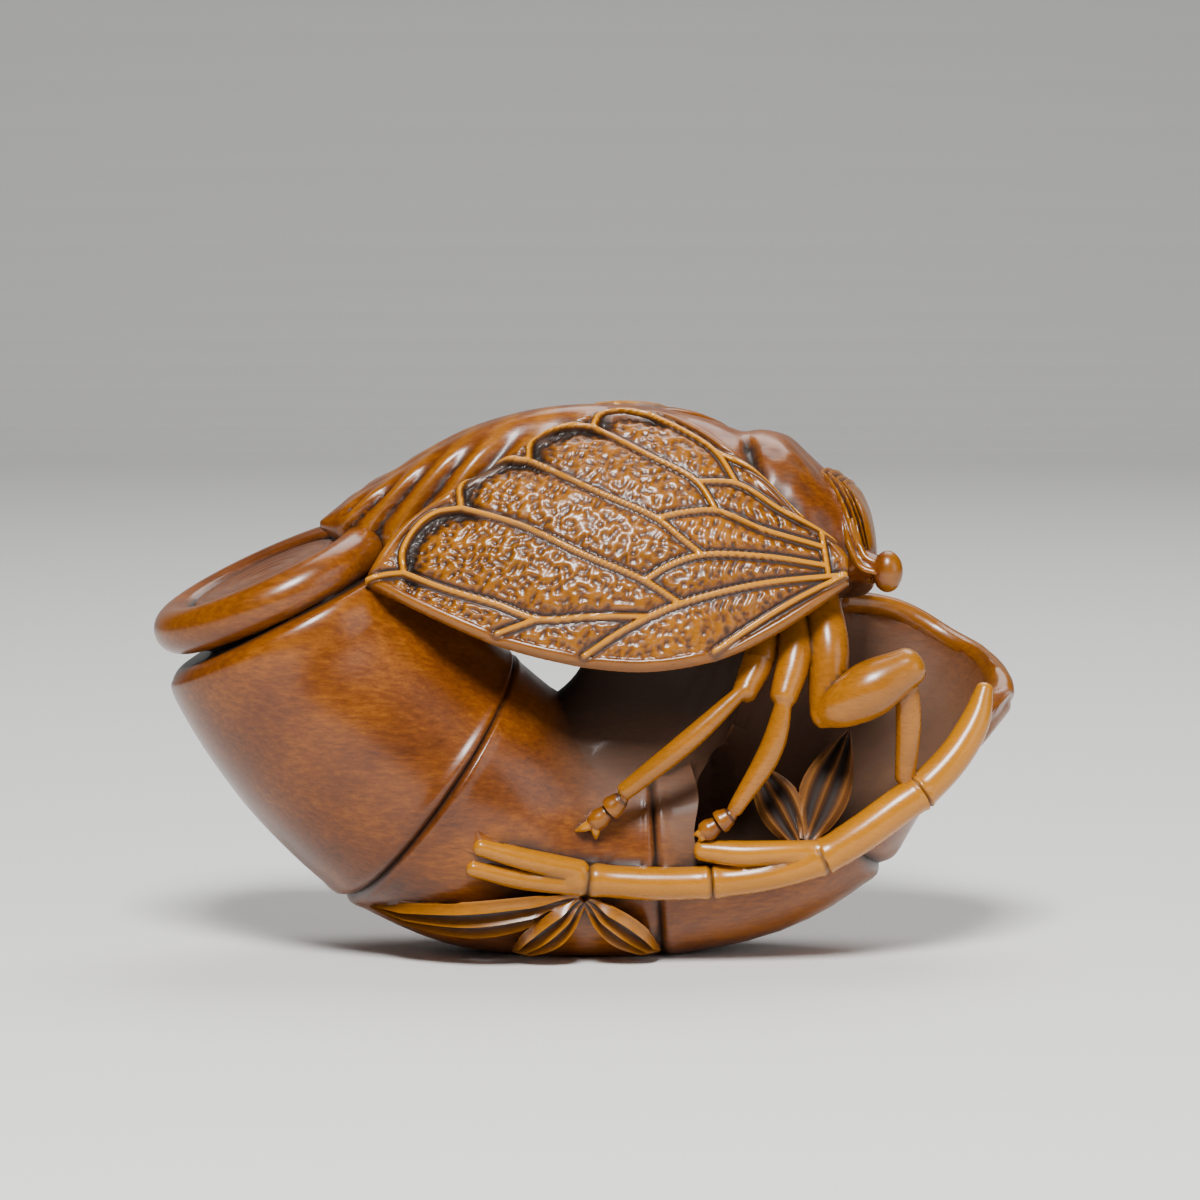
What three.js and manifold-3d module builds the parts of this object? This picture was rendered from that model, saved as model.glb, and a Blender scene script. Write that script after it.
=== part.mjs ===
// A hand-held boxwood carving: a cicada resting on a curved length of bamboo whose right end is hollowed
// into an open scoop. It is one block of wood. Millimetres, +Z up, -Y is the side with the branch, and the
// bamboo runs along X from its cut end ring (-X) to its pointed tip (+X).
import * as THREE from "three";
import { mergeVertices } from "three/addons/utils/BufferGeometryUtils.js";
import Module from "manifold-3d";

const wasm = await Module();
wasm.setup();

// Driving dimensions of the bamboo
const END_CENTRE = new THREE.Vector3(-26.2, 0, 30.8); // centre of the cut end ring
const END_AXIS = new THREE.Vector3(-0.41, -0.07, 0.91).normalize(); // the way the cut end looks
const END_RADIUS = 10.5;
const LIP_RADIUS = 1.9; // roundness of the end ring's lip
const LIP_ARC = { from: -0.6 * Math.PI, to: 0.75 * Math.PI, steps: 5 }; // the part of its circle that shows
const DISH = { radius: 5.0, depth: 0.4, middle: 0.9 }; // the shallow hollow inside the lip
const PLUG_DEPTH = 6; // how far the end ring's own wood reaches down into the bamboo
const NODE_GROOVE = 0.4; // depth of the line cut round each bamboo node
const NODE_SWELL = 0.25; // height of the bead on either side of it
const NODE_BEAD = 0.7; // distance from the line to each bead

// Centre line of the bamboo: place and outside radius. A point with a lean is a bamboo node, and the lean is
// how far along the bamboo its ring slants for each millimetre towards the front.
const CULM = [
  { at: [-25.2, 0.0, 28.6], r: 9.0 },
  { at: [-24.6, 0.1, 27.4], r: 11.2 },
  { at: [-22.9, 0.3, 24.4], r: 11.4 },
  { at: [-20.1, 0.5, 21.2], r: 12.0 },
  { at: [-16.8, 0.7, 17.9], r: 12.3 },
  { at: [-13.2, 0.8, 14.8], r: 12.3, lean: 0.14 },
  { at: [-7.1, 0.8, 11.2], r: 11.5 },
  { at: [-2.5, 0.8, 9.6], r: 10.3 },
  { at: [1.2, 0.8, 8.9], r: 9.7 },
  { at: [5.9, 0.8, 8.6], r: 9.1, lean: 0 },
  { at: [13.8, 1.0, 10.2], r: 8.9 },
  { at: [17.9, 1.2, 13.3], r: 9.4, lean: 0 },
  { at: [21.0, 1.5, 18.9], r: 10.0 },
  { at: [25.2, 1.5, 24.3], r: 10.3 },
  { at: [27.3, 1.5, 28.3], r: 10.5 },
  { at: [29.2, 1.5, 32.0], r: 10.6 },
];
const CULM_SIDES = 22;
const HOLLOW_SIDES = 16;

// Hollow of the scoop: place, radius in the plane of the bend, radius front to back
const HOLLOW = [
  { at: [9.4, -0.6, 10.8], r: 4.6, depth: 4.4 },
  { at: [10.4, -0.6, 10.8], r: 6.2, depth: 5.6 },
  { at: [14.0, -0.4, 11.2], r: 6.9, depth: 6.0 },
  { at: [17.9, 0.2, 13.9], r: 7.5, depth: 6.9 },
  { at: [21.0, 1.2, 18.9], r: 8.2, depth: 8.2 },
  { at: [25.2, 1.4, 24.3], r: 8.6, depth: 8.8 },
  { at: [27.3, 1.4, 28.3], r: 8.8, depth: 9.0 },
  { at: [30.5, 1.5, 34.0], r: 8.9, depth: 9.3 },
];
// The scoop's rim seen from the front, as X and Z: the near rim, then the far rim, both up to the tip
const NEAR_RIM = [
  [7.6, 24.0],
  [8.3, 18.0],
  [9.4, 14.0],
  [9.0, 11.0],
  [9.4, 9.6],
  [12.8, 9.8],
  [17.7, 10.2],
  [21.9, 11.6],
  [26.4, 14.7],
  [31.1, 17.9],
  [33.2, 20.0],
  [35.6, 22.0],
];
const FAR_RIM = [
  [12.0, 25.5],
  [14.9, 26.5],
  [18.3, 28.2],
  [22.6, 28.8],
  [25.5, 28.4],
  [27.2, 28.0],
  [30.1, 26.0],
  [33.7, 24.2],
  [35.6, 22.0],
];
const RIM_TURN = { from: -1.5, to: 4.5, steps: 2 }; // Y over which the near rim turns into the far one
const RIM_STEPS = 11;
const CUTTER_REACH = 30; // how far the rim cutter reaches to the front and back
const CUTTER_TOP = 60;

// The neck of wood that joins the insect's belly to the bamboo: place, half-length, half-depth
const NECK = [
  { at: [5.5, 1.0, 14.0], x: 13.0, y: 7.2 },
  { at: [5.5, 1.0, 18.5], x: 10.5, y: 6.2 },
  { at: [6.2, 1.0, 21.6], x: 8.9, y: 5.2 },
  { at: [7.3, 1.0, 23.8], x: 7.7, y: 4.8 },
  { at: [9.0, 1.0, 29.0], x: 7.4, y: 5.0 },
];

const NECK_SIDES = 14;

// The insect leans towards the front about the line where its wings meet
const LEAN = THREE.MathUtils.degToRad(8);
const CREST = new THREE.Vector3(2.5, 0, 45.4);
const SIDEWAYS = new THREE.Vector3(0, -Math.cos(LEAN), -Math.sin(LEAN));
const UPWARDS = new THREE.Vector3(0, -Math.sin(LEAN), Math.cos(LEAN));

// The abdomen's rings: how many, how deep, and where they start and end
const SEGMENTS = 7;
const SEGMENT_DEPTH = 0.45;
const TAIL_X = -20.5;
const WAIST_X = 2.0;

// Body outline from tail to face: X, crest height, belly height, half-width, and how far the outline slants
// along X from the crest to the flank: back over the abdomen, forward at the collar behind the head
const BODY = [
  [-22.0, 36.2, 34.8, 0.6, 0],
  [-20.5, 37.4, 33.0, 2.0, -0.3],
  [-18.0, 38.9, 31.4, 3.4, -1.2],
  [-15.5, 40.3, 30.0, 4.3, -1.8],
  [-12.5, 42.2, 28.6, 5.0, -2.2],
  [-9.5, 43.8, 27.4, 5.6, -2.2],
  [-6.0, 45.0, 26.4, 6.2, -2.2],
  [-2.5, 45.7, 25.9, 6.7, -2.0],
  [2.0, 45.9, 25.5, 7.1, -1.6],
  [7.0, 45.4, 25.4, 7.6, -0.8],
  [10.9, 44.4, 25.4, 7.9, 0],
  [13.0, 43.6, 25.6, 8.0, 0.4],
  [14.8, 43.7, 26.0, 8.0, 0.8],
  [16.6, 43.2, 26.6, 7.9, 1.2],
  [18.4, 41.4, 27.6, 7.7, 1.6],
  [19.6, 40.2, 28.4, 7.5, 1.8],
  [20.3, 40.3, 28.8, 7.4, 2.0],
  [20.9, 39.3, 29.2, 7.2, 2.0],
  [22.4, 38.7, 30.0, 6.6, 1.3],
  [23.2, 37.7, 30.6, 6.0, 0.8],
  [23.9, 36.4, 31.2, 4.8, 0.3],
  [24.3, 34.6, 32.0, 2.6, 0],
];
const BODY_SIDES = 16;
const EYE_RADIUS = 1.5;
const EYE_LOBE = [2.4, 1.2]; // radius of the lobe that carries it, at the head and at the eye
const EYES = [
  { at: [24.7, -6.0, 32.8], from: [21.5, -4.0, 33.6] },
  { at: [23.0, 7.0, 33.4], from: [20.5, 4.0, 34.0] },
];
const EYE_SIDES = 8;

// The near wing: a shallow dome on a sloping plane. p runs to the wing's tip and q up to the crest.
const WING_CENTRE = new THREE.Vector3(2.07, -6.2, 34.8);
const WING_SLOPE = THREE.MathUtils.degToRad(29);
const WING_RISE = 3.8;
const WING_REACH = { p: 22, q: 13.5 };
const WING_ROOT = -19.6;
const WING_TIP = 20.05;
const WING_EDGE = 0.5; // thickness at the margin
const WING_SWELL = 2.0; // how much thicker the middle is
const WING_CELLS = { along: 14, across: 7 };
const WING_BACK = [0.9, 0.5, 0.1]; // where the plain underside has its lines, across the wing
const EDGE_SAMPLES = 120;
const LOWER_EDGE = [
  [-19.6, -3.6],
  [-17.2, -5.7],
  [-13.0, -8.6],
  [-8.5, -10.6],
  [-3.0, -11.6],
  [3.0, -11.1],
  [9.0, -9.5],
  [15.5, -6.4],
  [20.3, -3.4],
];
const UPPER_EDGE = [
  [-19.6, -1.4],
  [-18.6, -0.1],
  [-15.6, 2.1],
  [-12.3, 5.7],
  [-6.6, 10.8],
  [-1.6, 12.2],
  [4.1, 10.4],
  [8.6, 7.0],
  [13.2, 4.0],
  [17.6, 0.6],
  [20.3, -3.4],
];
const VEIN_WIDTH = 1.2; // at its foot, which is sunk in the wing
const VEIN_RISE = 0.35;
// Where veins meet or end on the near wing, as [p, q]
const V = {
  tip: [20.0, -3.4],
  loop1: [16.9, -3.1],
  loop2: [12.2, 2.2],
  loop3: [6.7, 6.5],
  loop4: [1.4, 9.9],
  crest: [-3.3, 11.3],
  costa: [5.9, -7.6],
  costaOut: [9.2, -8.6],
  fork1: [-3.1, -7.5],
  fork1Out: [2.1, -10.5],
  fork2: [-5.7, -6.4],
  fork3: [-2.8, -4.6],
  fork4: [-7.5, -2.3],
  fork5: [-3.8, 0.8],
  fork6: [-8.7, 1.7],
  fork7: [-7.1, 4.4],
  fork8: [-10.4, 4.4],
  fork9: [-8.7, 7.5],
  root1: [-17.9, -3.3],
  root2: [-17.6, -2.4],
  root3: [-17.4, -0.8],
  root4: [-17.3, 0.6],
  rootOut: [-19.3, -3.0],
  shoulder: [-12.5, 5.4],
  edgeOut: [-8.5, -10.0],
};
// The main veins, which both wings have
const MAIN_VEINS = [
  [V.fork1, V.fork2, [-12.0, -4.5], V.root1, V.rootOut],
  [V.fork2, V.fork3, [2.0, -2.5], [7.5, 0.4], V.loop2],
  [V.fork5, [-6.0, 1.4], V.fork6, [-12.4, 0.3], V.root3],
];
// The others, which only the wing that is seen has
const FINE_VEINS = [
  [V.tip, [18.6, -3.1], V.loop1],
  [V.loop1, [17.0, -1.2], [15.8, 0.9], [14.2, 2.0], V.loop2],
  [V.loop2, [12.3, 4.2], [11.0, 5.9], [8.7, 6.7], V.loop3],
  [V.loop3, [6.5, 8.4], [4.9, 9.6], [2.8, 10.1], V.loop4],
  [V.loop4, [0.9, 11.2], [-0.6, 11.8], V.crest],
  [V.loop1, [13.6, -4.7], [9.2, -6.3], V.costa, [1.4, -7.5], V.fork1],
  [V.costa, V.costaOut],
  [V.fork1, [-1.0, -8.6], V.fork1Out],
  [V.fork3, [-4.8, -3.3], V.fork4, [-12.5, -2.1], V.root2],
  [V.fork4, [-5.8, -0.9], V.fork5, [1.0, 3.2], V.loop3],
  [V.fork6, V.fork7, [-3.0, 7.0], V.loop4],
  [V.fork7, V.fork8, [-14.0, 2.2], V.root4, [-18.9, -0.1]],
  [V.fork8, V.fork9, [-6.0, 9.7], V.crest],
  [V.fork9, V.shoulder, [-15.8, 1.8]],
  [V.root4, V.root1],
  [V.rootOut, [-15.0, -5.6], V.edgeOut],
];

// Limbs of the near side: the points each segment runs through and its radius at each
const NEAR_LIMBS = [
  { through: [[14.8, -4.0, 29.6], [14.5, -7.2, 26.0], [13.1, -9.2, 23.0]], r: [1.0, 1.3, 0.9] },
  { through: [[13.2, -9.5, 23.4], [8.6, -10.2, 19.2], [3.3, -10.0, 15.0]], r: [0.8, 0.9, 0.8] },
  { through: [[3.6, -10.0, 15.2], [1.8, -9.8, 13.3], [-0.2, -9.3, 11.4]], r: [0.8, 0.8, 0.5] },
  { through: [[16.9, -4.0, 30.2], [17.3, -7.4, 26.2], [16.3, -9.4, 22.6]], r: [1.1, 1.4, 1.0] },
  { through: [[16.5, -9.6, 23.0], [15.3, -9.7, 18.4], [12.3, -9.6, 13.0]], r: [0.75, 0.95, 0.7] },
  { through: [[12.4, -9.6, 13.2], [10.6, -9.6, 12.0], [9.2, -9.4, 10.9]], r: [0.8, 0.85, 0.6] },
  { through: [[19.4, -4.0, 30.6], [20.0, -6.8, 26.4], [19.9, -8.0, 21.0]], r: [1.5, 1.75, 1.5] },
  { through: [[19.4, -8.2, 20.9], [23.3, -9.0, 23.1], [26.6, -8.6, 25.0]], r: [1.5, 2.3, 1.3] },
  { through: [[26.3, -8.4, 24.6], [26.6, -7.9, 20.5], [26.4, -6.9, 15.6]], r: [0.95, 1.05, 0.85] },
];
// Limbs of the far side, plainer, gripping the back of the bamboo
const FAR_LIMBS = [
  { through: [[14.0, 8.0, 28.0], [12.5, 11.0, 25.5], [10.5, 12.2, 23.0]], r: [1.0, 1.3, 0.9] },
  { through: [[10.6, 12.2, 23.2], [5.0, 11.6, 18.0], [0.0, 10.4, 13.0]], r: [0.7, 0.85, 0.7] },
  { through: [[17.0, 8.0, 29.0], [17.3, 11.0, 26.8], [16.8, 12.6, 23.5]], r: [1.1, 1.4, 1.0] },
  { through: [[16.8, 12.6, 23.8], [15.6, 11.8, 19.0], [13.8, 9.9, 13.8]], r: [0.8, 0.95, 0.7] },
  { through: [[19.6, 7.5, 30.5], [20.8, 11.0, 29.6], [23.6, 12.6, 27.2]], r: [1.4, 1.7, 1.2] },
  { through: [[23.4, 12.4, 27.6], [24.6, 12.3, 23.0], [24.4, 11.6, 19.0]], r: [0.9, 1.0, 0.8] },
];
const LIMB_SIDES = 7;
const FAR_LIMB_SIDES = 6;
// A rod's blunt end: how far it reaches past the last point, and how wide it is there, in radii
const ROD_END = { reach: 0.75, share: 0.5 };

// The bamboo twig laid along the front: the points it runs through and its radius at each
const BRANCH = {
  through: [
    [-1.2, -9.2, 7.6],
    [5.4, -8.9, 7.1],
    [10.4, -8.6, 7.2],
    [15.2, -8.6, 7.8],
    [19.5, -8.4, 9.2],
    [22.6, -8.1, 11.0],
    [25.9, -7.4, 13.3],
    [28.0, -6.7, 14.7],
    [30.6, -5.6, 17.3],
    [32.3, -4.6, 20.0],
    [33.2, -4.0, 23.2],
  ],
  r: [1.25, 1.3, 1.3, 1.25, 1.4, 1.5, 1.5, 1.45, 1.4, 1.2, 0.3],
};
const BRANCH_NODES = [2, 4, 7]; // which of those points are nodes of the twig
const BRANCH_NODE_SWELL = 0.3;
const BRANCH_STEPS = 14;
const TWIGS = [
  { through: [[-8.6, -10.8, 10.4], [-4.5, -10.2, 9.2], [-0.4, -9.5, 8.2]], r: [0.8, 1.0, 0.9] },
  { through: [[-9.2, -10.5, 8.6], [-5.3, -9.9, 7.6], [-0.4, -9.3, 7.0]], r: [0.7, 0.9, 0.8] },
  {
    through: [[9.6, -9.0, 9.9], [12.7, -9.2, 9.6], [16.0, -9.1, 9.7], [19.2, -8.7, 9.8]],
    r: [0.9, 1.1, 1.0, 0.9],
  },
];
// Leaves: the line of the midrib, half-width, thickness and the way the face looks
const LEAVES = [
  {
    through: [[-0.4, -9.0, 5.7], [-9.0, -9.2, 4.2], [-17.8, -5.0, 4.6]],
    half: 2.1,
    facing: [-0.2, -0.7, -0.6],
  },
  {
    through: [[-0.2, -9.0, 5.6], [-3.0, -8.4, 2.9], [-6.0, -5.4, 0.9]],
    half: 1.7,
    facing: [0, -0.75, -0.65],
  },
  {
    through: [[0.1, -9.0, 5.6], [3.2, -7.9, 3.0], [6.2, -5.0, 0.9]],
    half: 1.8,
    facing: [0, -0.7, -0.7],
  },
  {
    through: [[17.8, -8.6, 10.2], [16.0, -6.2, 13.4], [14.0, -3.2, 16.4]],
    half: 1.9,
    facing: [-0.2, -0.9, 0.4],
  },
  {
    through: [[18.2, -8.6, 10.6], [20.0, -5.2, 14.6], [22.0, -1.8, 18.9]],
    half: 2.1,
    facing: [0.1, -0.9, 0.4],
  },
];
const LEAF_THICK = 1.1;
const LEAF_STEPS = 5;
// The width follows a half wave, of which a leaf runs from one share to another: stalk end to point
const LEAF_STALK = 0.1;
const LEAF_POINT = 0.96;
// Across a leaf, in half-widths and half-thicknesses: three ridges on the face, a keel behind
const LEAF_SECTION = [
  [-1, 0],
  [-0.7, 1],
  [-0.35, 0.3],
  [0, 1],
  [0.35, 0.3],
  [0.7, 1],
  [1, 0],
  [0, -1],
];

const GROUND = 120; // side of the block that planes the underside flat at Z = 0

const vec = (p) => new THREE.Vector3(...p);

// A smooth line through some points.
const smooth = (points) => new THREE.CatmullRomCurve3(points.map(vec), false, "centripetal");

// A closed mesh as a solid that can be joined and cut.
function solid(geometry) {
  const bare = geometry.clone();
  bare.deleteAttribute("normal");
  bare.deleteAttribute("uv");
  const merged = mergeVertices(bare, 1e-4);
  return new wasm.Manifold(
    new wasm.Mesh({
      numProp: 3,
      vertProperties: new Float32Array(merged.attributes.position.array),
      triVerts: new Uint32Array(merged.index.array),
    }),
  );
}

// Skins a row of rings, each a list of the same number of points, and closes both ends on their middles.
function skin(rings) {
  const sides = rings[0].length;
  const points = rings.flat();
  const faces = [];
  for (let i = 0; i + 1 < rings.length; i++)
    for (let j = 0; j < sides; j++) {
      const a = i * sides + j;
      const b = i * sides + ((j + 1) % sides);
      faces.push(a, b, b + sides, a, b + sides, a + sides);
    }
  for (const end of [0, rings.length - 1]) {
    const middle = points.length;
    const ring = rings[end];
    points.push(ring.reduce((sum, p) => sum.clone().add(p)).multiplyScalar(1 / sides));
    for (let j = 0; j < sides; j++) {
      const a = end * sides + j;
      const b = end * sides + ((j + 1) % sides);
      faces.push(...(end === 0 ? [middle, b, a] : [middle, a, b]));
    }
  }
  const geometry = new THREE.BufferGeometry().setFromPoints(points);
  geometry.setIndex(faces);
  return geometry;
}

// The same geometry turned so that it encloses a positive volume, as a solid.
function outward(geometry) {
  const made = solid(geometry);
  if (made.volume() > 0) return made;
  const order = geometry.index.array;
  for (let i = 0; i < order.length; i += 3) [order[i + 1], order[i + 2]] = [order[i + 2], order[i + 1]];
  return solid(geometry);
}

// A value read off a list at a share t of its length, straight between entries.
function blend(list, t) {
  const x = t * (list.length - 1);
  const i = Math.min(Math.floor(x), list.length - 2);
  return list[i] + (list[i + 1] - list[i]) * (x - i);
}

// A round-ended rod through some points, with a radius at each of them.
function rod({ through, r }, sides = LIMB_SIDES, steps = 2 * through.length - 2) {
  const line = smooth(through);
  const { normals, binormals } = line.computeFrenetFrames(steps, false);
  const rings = [];
  const ring = (i, slide, share) => {
    const t = i / steps;
    const centre = line.getPoint(t).addScaledVector(line.getTangent(t), slide);
    const radius = blend(r, t) * share;
    rings.push(
      Array.from({ length: sides }, (_, j) => {
        const a = (j / sides) * 2 * Math.PI;
        return centre
          .clone()
          .addScaledVector(normals[i], radius * Math.cos(a))
          .addScaledVector(binormals[i], radius * Math.sin(a));
      }),
    );
  };
  ring(0, -ROD_END.reach * r[0], ROD_END.share);
  for (let i = 0; i <= steps; i++) ring(i, 0, 1);
  ring(steps, ROD_END.reach * r.at(-1), ROD_END.share);
  return outward(skin(rings));
}

// Rings of a bent tube: each entry has a centre, a radius in the plane of the bend and one across it.
function bentTube(entries, sides) {
  const line = smooth(entries.map((e) => e.at));
  return entries.map((e, i) => {
    const along = line.getTangent(i / (entries.length - 1)).setY(0).normalize();
    const out = new THREE.Vector3(along.z, 0, -along.x);
    return Array.from({ length: sides }, (_, j) => {
      const a = (j / sides) * 2 * Math.PI;
      return vec(e.at)
        .addScaledVector(out, e.r * Math.cos(a))
        .addScaledVector(along, -(e.lean ?? 0) * e.depth * Math.sin(a))
        .add(new THREE.Vector3(0, e.depth * Math.sin(a), 0));
    });
  });
}

// The bamboo's stations: its listed points with three more at each node, for the line and its two beads.
function culmStations() {
  const line = smooth(CULM.map((c) => c.at));
  const last = CULM.length - 1;
  const stations = [];
  CULM.forEach((c, i) => {
    if (c.lean === undefined) {
      stations.push({ at: c.at, r: c.r, depth: c.r });
      return;
    }
    const along = line.getTangent(i / last);
    for (const [slide, grow] of [[-NODE_BEAD, NODE_SWELL], [0, -NODE_GROOVE], [NODE_BEAD, NODE_SWELL]])
      stations.push({
        at: vec(c.at).addScaledVector(along, slide).toArray(),
        r: c.r + grow,
        depth: c.r + grow,
        lean: c.lean,
      });
  });
  return stations;
}

// The cut end: a rounded lip round a shallow dish, turned about the bamboo's own axis.
function endRing() {
  const lip = Array.from({ length: LIP_ARC.steps + 1 }, (_, i) => {
    const a = LIP_ARC.from + (i / LIP_ARC.steps) * (LIP_ARC.to - LIP_ARC.from);
    return new THREE.Vector2(
      END_RADIUS - LIP_RADIUS + LIP_RADIUS * Math.cos(a),
      LIP_RADIUS * Math.sin(a),
    );
  });
  const profile = [
    new THREE.Vector2(0, -PLUG_DEPTH),
    new THREE.Vector2(END_RADIUS - LIP_RADIUS, -LIP_RADIUS),
    ...lip,
    new THREE.Vector2(DISH.radius, -DISH.depth),
    new THREE.Vector2(0, -DISH.middle),
  ];
  const turn = new THREE.Quaternion().setFromUnitVectors(new THREE.Vector3(0, 1, 0), END_AXIS);
  const geometry = new THREE.LatheGeometry(profile, CULM_SIDES);
  geometry.applyQuaternion(turn).translate(...END_CENTRE.toArray());
  return outward(geometry);
}

// A block that removes everything above the rim: at each Y an outline that starts with the rim line there.
function rimCutter() {
  const [near, far] = [NEAR_RIM, FAR_RIM].map((rim) =>
    smooth(rim.map(([x, z]) => [x, 0, z])).getSpacedPoints(RIM_STEPS),
  );
  const { from, to, steps } = RIM_TURN;
  const turning = Array.from({ length: steps + 1 }, (_, i) => ({ y: from + ((to - from) * i) / steps, i }));
  const places = [{ y: -CUTTER_REACH, i: 0 }, ...turning, { y: CUTTER_REACH, i: steps }];
  const rings = places.map(({ y, i }) => {
    const rim = near.map((p, k) => p.clone().lerp(far[k], i / steps).setY(y));
    const [first, last] = [rim[0], rim.at(-1)];
    return [
      ...rim,
      new THREE.Vector3(CUTTER_TOP, y, last.z),
      new THREE.Vector3(CUTTER_TOP, y, CUTTER_TOP),
      new THREE.Vector3(first.x, y, CUTTER_TOP),
    ];
  });
  return outward(skin(rings));
}

// The bamboo and the neck that stands on it, hollowed together.
function bamboo() {
  const tube = outward(skin(bentTube(culmStations(), CULM_SIDES)));
  const hollow = outward(skin(bentTube(HOLLOW, HOLLOW_SIDES)));
  return tube.subtract(rimCutter()).add(neck()).subtract(hollow).add(endRing());
}

// The block of wood left between the belly and the bamboo.
function neck() {
  const rings = NECK.map((s) =>
    Array.from({ length: NECK_SIDES }, (_, j) => {
      const a = (j / NECK_SIDES) * 2 * Math.PI;
      return vec(s.at).add(new THREE.Vector3(s.x * Math.cos(a), s.y * Math.sin(a), 0));
    }),
  );
  return outward(skin(rings));
}

// A point at a height above and a distance beside the insect's own mid line.
function onInsect(x, sideways, z) {
  const up = (z - CREST.z) / UPWARDS.z;
  return new THREE.Vector3(x, 0, CREST.z)
    .addScaledVector(UPWARDS, up)
    .addScaledVector(SIDEWAYS, sideways);
}

// The body's outline at X, read straight between its listed sections.
function bodySection(x) {
  const i = Math.max(1, BODY.findIndex((s) => s[0] >= x));
  const [from, to] = [BODY[i - 1], BODY[i]];
  const share = (x - from[0]) / (to[0] - from[0]);
  const [, top, bottom, half, slant] = from.map((v, k) => v + (to[k] - v) * share);
  return { middle: (top + bottom) / 2, rise: (top - bottom) / 2, half, slant };
}

// How deep the abdomen is notched at X: a wave with one crest to each ring, and nothing elsewhere.
function notchAt(x) {
  if (x <= TAIL_X || x >= WAIST_X) return 0;
  return SEGMENT_DEPTH * Math.cos((2 * Math.PI * SEGMENTS * (x - TAIL_X)) / (WAIST_X - TAIL_X));
}

function body() {
  const halfSegment = (WAIST_X - TAIL_X) / (2 * SEGMENTS);
  const notched = Array.from({ length: 2 * SEGMENTS - 1 }, (_, i) => TAIL_X + (i + 1) * halfSegment);
  const plain = BODY.map((s) => s[0]).filter((x) => x <= TAIL_X || x >= WAIST_X);
  const stations = [...plain, ...notched].sort((a, b) => a - b);
  const rings = stations.map((x) => {
    const { middle, rise, half, slant } = bodySection(x);
    return Array.from({ length: BODY_SIDES }, (_, j) => {
      const a = (j / BODY_SIDES) * 2 * Math.PI;
      const flank = Math.abs(Math.sin(a));
      const notch = notchAt(x) * flank ** 2;
      const z = middle + (rise - notch) * Math.cos(a);
      return onInsect(x + slant * flank, (half - notch) * Math.sin(a), z);
    });
  });
  return outward(skin(rings));
}

// An eye: a ball on the short lobe at the corner of the head.
function eye({ at, from }) {
  const lobe = rod({ through: [from, at], r: EYE_LOBE }, EYE_SIDES);
  const ball = new THREE.SphereGeometry(EYE_RADIUS, EYE_SIDES, EYE_SIDES - 2);
  return lobe.add(outward(ball.translate(...at)));
}

// A point on the near wing's face, a height h above its dome.
function onWing(p, q, h = 0) {
  const rise = WING_RISE * (1 - (p / WING_REACH.p) ** 2 - (q / WING_REACH.q) ** 2) + h;
  return WING_CENTRE.clone().add(
    new THREE.Vector3(
      -p,
      q * Math.sin(WING_SLOPE) - rise * Math.cos(WING_SLOPE),
      q * Math.cos(WING_SLOPE) + rise * Math.sin(WING_SLOPE),
    ),
  );
}

// An edge of the wing as a smooth line of q against p.
function edgeLine(points) {
  const line = smooth(points.map(([p, q]) => [p, q, 0]));
  const samples = line.getPoints(EDGE_SAMPLES);
  return (p) => {
    const i = samples.findIndex((s) => s.x >= p);
    if (i <= 0) return samples[i === 0 ? 0 : samples.length - 1].y;
    const [a, b] = [samples[i - 1], samples[i]];
    return a.y + ((b.y - a.y) * (p - a.x)) / (b.x - a.x || 1);
  };
}

// A share from 0 to 1 that is crowded towards both ends.
const eased = (t) => 0.5 - 0.5 * Math.cos(t * Math.PI);

// The wing's plate: a closed loop at each station along it, over the face and back under it.
function wingPlate() {
  const lower = edgeLine(LOWER_EDGE);
  const upper = edgeLine(UPPER_EDGE);
  const { along, across } = WING_CELLS;
  const rings = [];
  for (let i = 0; i <= along; i++) {
    const p = WING_ROOT + (WING_TIP - WING_ROOT) * eased(i / along);
    const q = (v) => lower(p) + (upper(p) - lower(p)) * eased(v);
    const swell = (v) => WING_SWELL * Math.sqrt(Math.sin(v * Math.PI) * Math.sin((i / along) * Math.PI));
    const face = Array.from({ length: across + 1 }, (_, j) => onWing(p, q(j / across)));
    const back = WING_BACK.map((v) => onWing(p, q(v), -WING_EDGE - swell(v)));
    rings.push([...face, ...back]);
  }
  return outward(skin(rings));
}

// A raised vein: a low three-sided rib along a line drawn on the wing.
function vein(line) {
  const curve = smooth(line.map(([p, q]) => [p, q, 0]));
  const steps = line.length > 3 ? line.length : 2;
  const rings = [];
  for (let i = 0; i <= steps; i++) {
    const t = i / steps;
    const at = curve.getPoint(t);
    const side = curve.getTangent(t).applyAxisAngle(new THREE.Vector3(0, 0, 1), Math.PI / 2);
    const half = VEIN_WIDTH / 2;
    rings.push([
      onWing(at.x + side.x * half, at.y + side.y * half, -VEIN_RISE),
      onWing(at.x, at.y, VEIN_RISE),
      onWing(at.x - side.x * half, at.y - side.y * half, -VEIN_RISE),
    ]);
  }
  return outward(skin(rings));
}

function wing(veins) {
  return veins.map(vein).reduce((joined, rib) => joined.add(rib), wingPlate());
}

// The same solid on the other side of the insect's mid plane.
function otherSide(made) {
  const mesh = made.getMesh();
  const points = [];
  for (let i = 0; i < mesh.numVert; i++) {
    const p = new THREE.Vector3(...mesh.vertProperties.slice(i * mesh.numProp, i * mesh.numProp + 3));
    points.push(p.addScaledVector(SIDEWAYS, -2 * p.clone().sub(CREST).dot(SIDEWAYS)));
  }
  const geometry = new THREE.BufferGeometry().setFromPoints(points);
  geometry.setIndex(Array.from(mesh.triVerts));
  return outward(geometry);
}

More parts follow.
